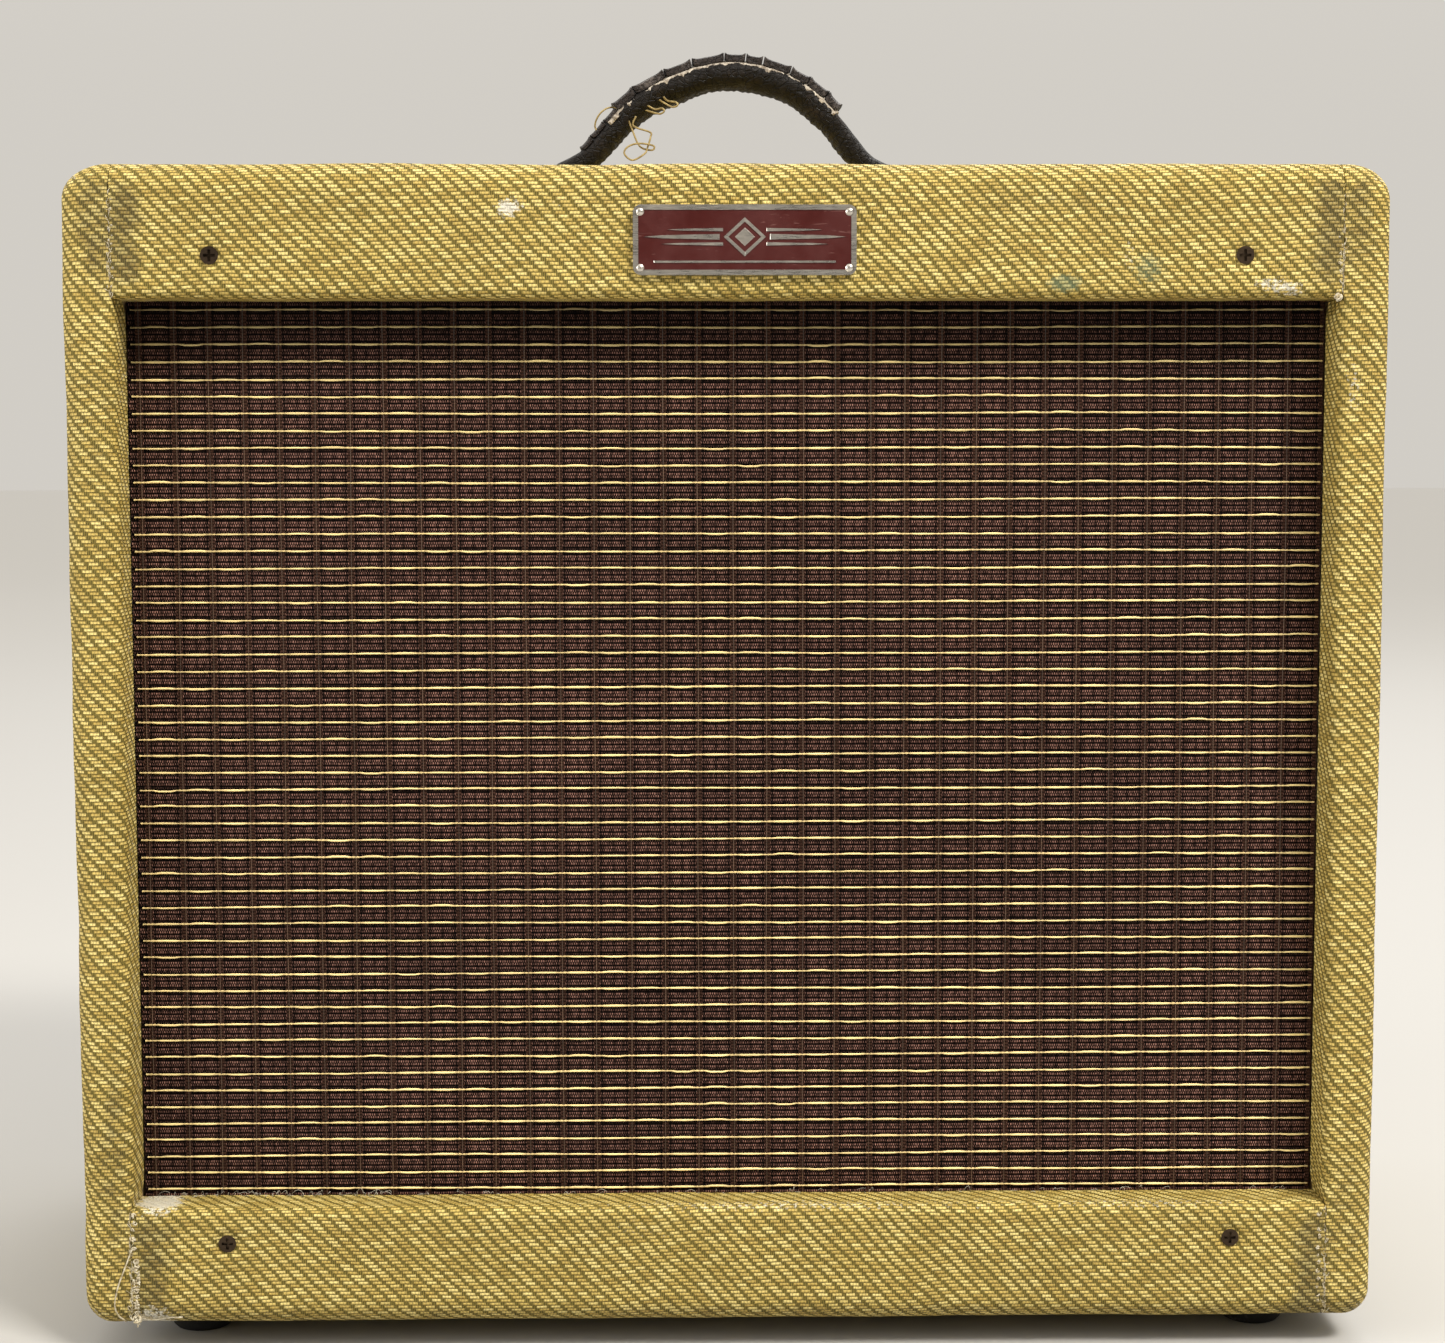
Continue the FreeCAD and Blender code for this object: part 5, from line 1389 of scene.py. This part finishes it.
def build_panel_print():
    outlines, points, faces = [], [], []
    for y in (panel_low[1] + 2.6, panel_high[1] - 2.6):
        x0, x1, y0, y1 = panel_low[0] + 3, panel_high[0] - 3, y - 0.25, y + 0.25
        outlines.append([(x0, y0), (x1, y0), (x1, y1), (x0, y1)])
    for x, y, _ in knob_places.values():
        for k in range(mark_count):
            turn = k * turn_degrees / (mark_count - 1) - turn_degrees / 2
            angle = math.radians(-90) - math.radians(turn)
            outlines.append(bar((x, y), angle, mark_near, mark_far, 0.28))
            curve = bpy.data.curves.new("number", "FONT")
            curve.body = str(k + 1)
            curve.size, curve.extrude = 4.0, 0.03
            curve.align_x, curve.align_y = "CENTER", "CENTER"
            holder = bpy.data.objects.new("number", curve)
            shape = holder.to_mesh()
            start = len(points)
            cx, cy = x + number_ring * math.cos(angle), y + number_ring * math.sin(angle)
            points += [(v.co.x + cx, v.co.y + cy, v.co.z + panel_top + 0.03) for v in shape.vertices]
            faces += [tuple(start + i for i in p.vertices) for p in shape.polygons]
            holder.to_mesh_clear()
            bpy.data.objects.remove(holder)
            bpy.data.curves.remove(curve)
    flat_shapes("panel_marks", outlines, panel_top, ink, "root", "panel_chrome")
    add_piece("panel_numbers", points, faces, ink, "panel_chrome", smooth=False)


build_panel_print()
for node, (x, y, z) in knob_places.items():
    line = [bar((x, y), math.radians(-90), 1.0, 14.6, 0.55)]
    name, dial = node.replace("knob", "line"), node.replace("knob", "dial")
    flat_shapes(name, line, z - 0.02, white_fill, dial, "knob_black", 0.12)


# ---- inside the valves ----
def lathe(points, faces, profile, centre, sides=24):
    """Adds a closed turned shape about an upright axis; profile is (radius, z) from bottom to top."""
    start = len(points)
    for radius, z in profile:
        for k in range(sides):
            a = 2 * math.pi * k / sides
            points.append((centre[0] + radius * math.cos(a), centre[1] + radius * math.sin(a), z))
    faces += tube_faces(len(profile), sides, start) + end_faces(len(profile), sides, start)


def build_valve_insides():
    valve_y = sum(box_mm("power_valves")[i][1] for i in (0, 1)) / 2
    anodes, micas, getters = ([], []), ([], []), ([], [])
    for node, xs, anode in (("power_valves", (-92, -58), 6.6), ("preamp_valves", (-10, 30, 70), 5.4)):
        low, high = box_mm(node)
        tall = high[2] - low[2]
        for x in xs:
            centre = (x, valve_y)
            bottom, head = low[2] + tall * 0.24, low[2] + tall * 0.84
            lathe(*anodes, [(anode * 0.8, bottom), (anode, bottom + 1), (anode, head - 1),
                            (anode * 0.8, head)], centre, 8)
            for z in (bottom - 1.6, head + 0.6):
                lathe(*micas, [(anode + 1.4, z), (anode + 1.7, z + 0.4), (anode + 1.7, z + 0.6),
                               (anode + 1.4, z + 1.0)], centre, 16)
            dome = ((2.0, 0.07), (5.5, 0.09), (7.3, 0.13), (7.6, 0.16), (6.9, 0.165))
            lathe(*getters, [(radius, low[2] + tall * share) for radius, share in dome], centre, 24)
    anode_grey = painted_material("anode_grey", (0.045, 0.045, 0.048), (0.12, 0.12, 0.12), 0.55, 300.0)
    mica = painted_material("mica_discs", (0.48, 0.43, 0.36), (0.30, 0.25, 0.18), 0.35, 300.0)
    flash = metal_material("getter_flash", (0.62, 0.60, 0.58), 0.15, 0.2, 0.5, (0.14, 0.10, 0.08))
    add_piece("valve_anodes", *anodes, anode_grey, "valve_glass")
    add_piece("valve_micas", *micas, mica, "valve_glass")
    add_piece("valve_getters", *getters, flash, "valve_glass")


build_valve_insides()

# ---- camera ----
pitch, yaw, roll = 0.0787, 0.0148, -0.0016
focal, middle_x, middle_y, image_width, image_height = 2339.6, 723.2, 650.0, 1445, 1343
camera_x, camera_distance, camera_height = -14.1, 806.6, 303.1
ahead = Vector((math.sin(yaw) * math.cos(pitch), math.cos(yaw) * math.cos(pitch), -math.sin(pitch)))
right = Vector((math.cos(yaw), -math.sin(yaw), 0))
up = right.cross(ahead)
right_rolled = math.cos(roll) * right + math.sin(roll) * up
up_rolled = -math.sin(roll) * right + math.cos(roll) * up
turn = Matrix((right_rolled, up_rolled, -ahead)).transposed().to_4x4()
place = Vector((camera_x, front - camera_distance, base + camera_height)) * 0.001
camera_data = bpy.data.cameras.new("camera")
camera_data.sensor_width = 36
camera_data.lens = focal * 36 / image_width
camera_data.shift_x = (image_width / 2 - middle_x) / image_width
camera_data.shift_y = (middle_y - image_height / 2) / image_width
camera = bpy.data.objects.new("camera", camera_data)
camera.matrix_world = Matrix.Translation(place) @ turn
scene.collection.objects.link(camera)
scene.camera = camera

# ---- floor and light ----
def floor_material():
    s = Shade("pale_floor", Roughness=0.8)
    x, y, _ = s.split(s.coords())
    reach = s.math("SQRT", s.add(s.mul(x, x), s.mul(y, y)))
    # painted light and shade: the floor is painted darker near the object, where the key lamp lights it most,
    # and paler far off, so that it looks evenly bright
    s.set("Base Color", s.faded((1.0, 0.985, 0.955), reach, 0.3, 5.0, 0.44, 0.62))
    return s.material


floor_reach = 30000
corners = [(x * floor_reach, y * floor_reach, 0) for x, y in ((-1, -1), (1, -1), (1, 1), (-1, 1))]
floor = to_mesh("floor", corners, [(0, 1, 2, 3)], floor_material())
world = bpy.data.worlds.new("studio")
scene.world = world
world.use_nodes = True
sky = world.node_tree
direction = sky.nodes.new("ShaderNodeTexCoord").outputs["Generated"]
parts = sky.nodes.new("ShaderNodeSeparateXYZ")
sky.links.new(direction, parts.inputs[0])


def sky_span(value, low, high, to_low, to_high):
    made = sky.nodes.new("ShaderNodeMapRange")
    made.interpolation_type = "SMOOTHSTEP"
    for socket, given in zip(made.inputs, (value, low, high, to_low, to_high)):
        if isinstance(given, bpy.types.NodeSocket):
            sky.links.new(given, socket)
        else:
            socket.default_value = given
    return made.outputs[0]


around = sky_span(parts.outputs[1], -0.9, 0.6, 0.13, 0.64)
brightness = sky_span(parts.outputs[2], 0.12, 0.9, around, 1.15)
background = sky.nodes["Background"]
background.inputs["Color"].default_value = (1.0, 0.955, 0.88, 1)
sky.links.new(brightness, background.inputs["Strength"])


def lamp(name, place, target, size, power, colour=(1, 1, 1)):
    data = bpy.data.lights.new(name, "AREA")
    data.shape = "RECTANGLE"
    data.size, data.size_y = size
    data.energy = power
    data.color = colour
    made = bpy.data.objects.new(name, data)
    made.location = place
    made.rotation_euler = (Vector(target) - Vector(place)).to_track_quat("-Z", "Y").to_euler()
    scene.collection.objects.link(made)


lamp("key", (1.15, -1.25, 2.05), (0, 0, 0.25), (0.7, 0.5), 66, (1.0, 0.96, 0.89))
lamp("left", (-1.8, -0.8, 0.8), (0, 0, 0.2), (0.9, 0.9), 20, (1.0, 0.98, 0.95))
lamp("rear", (0.5, 1.7, 2.6), (0, 0, 0.2), (1.8, 1.8), 42)

scene.view_settings.view_transform = "Standard"
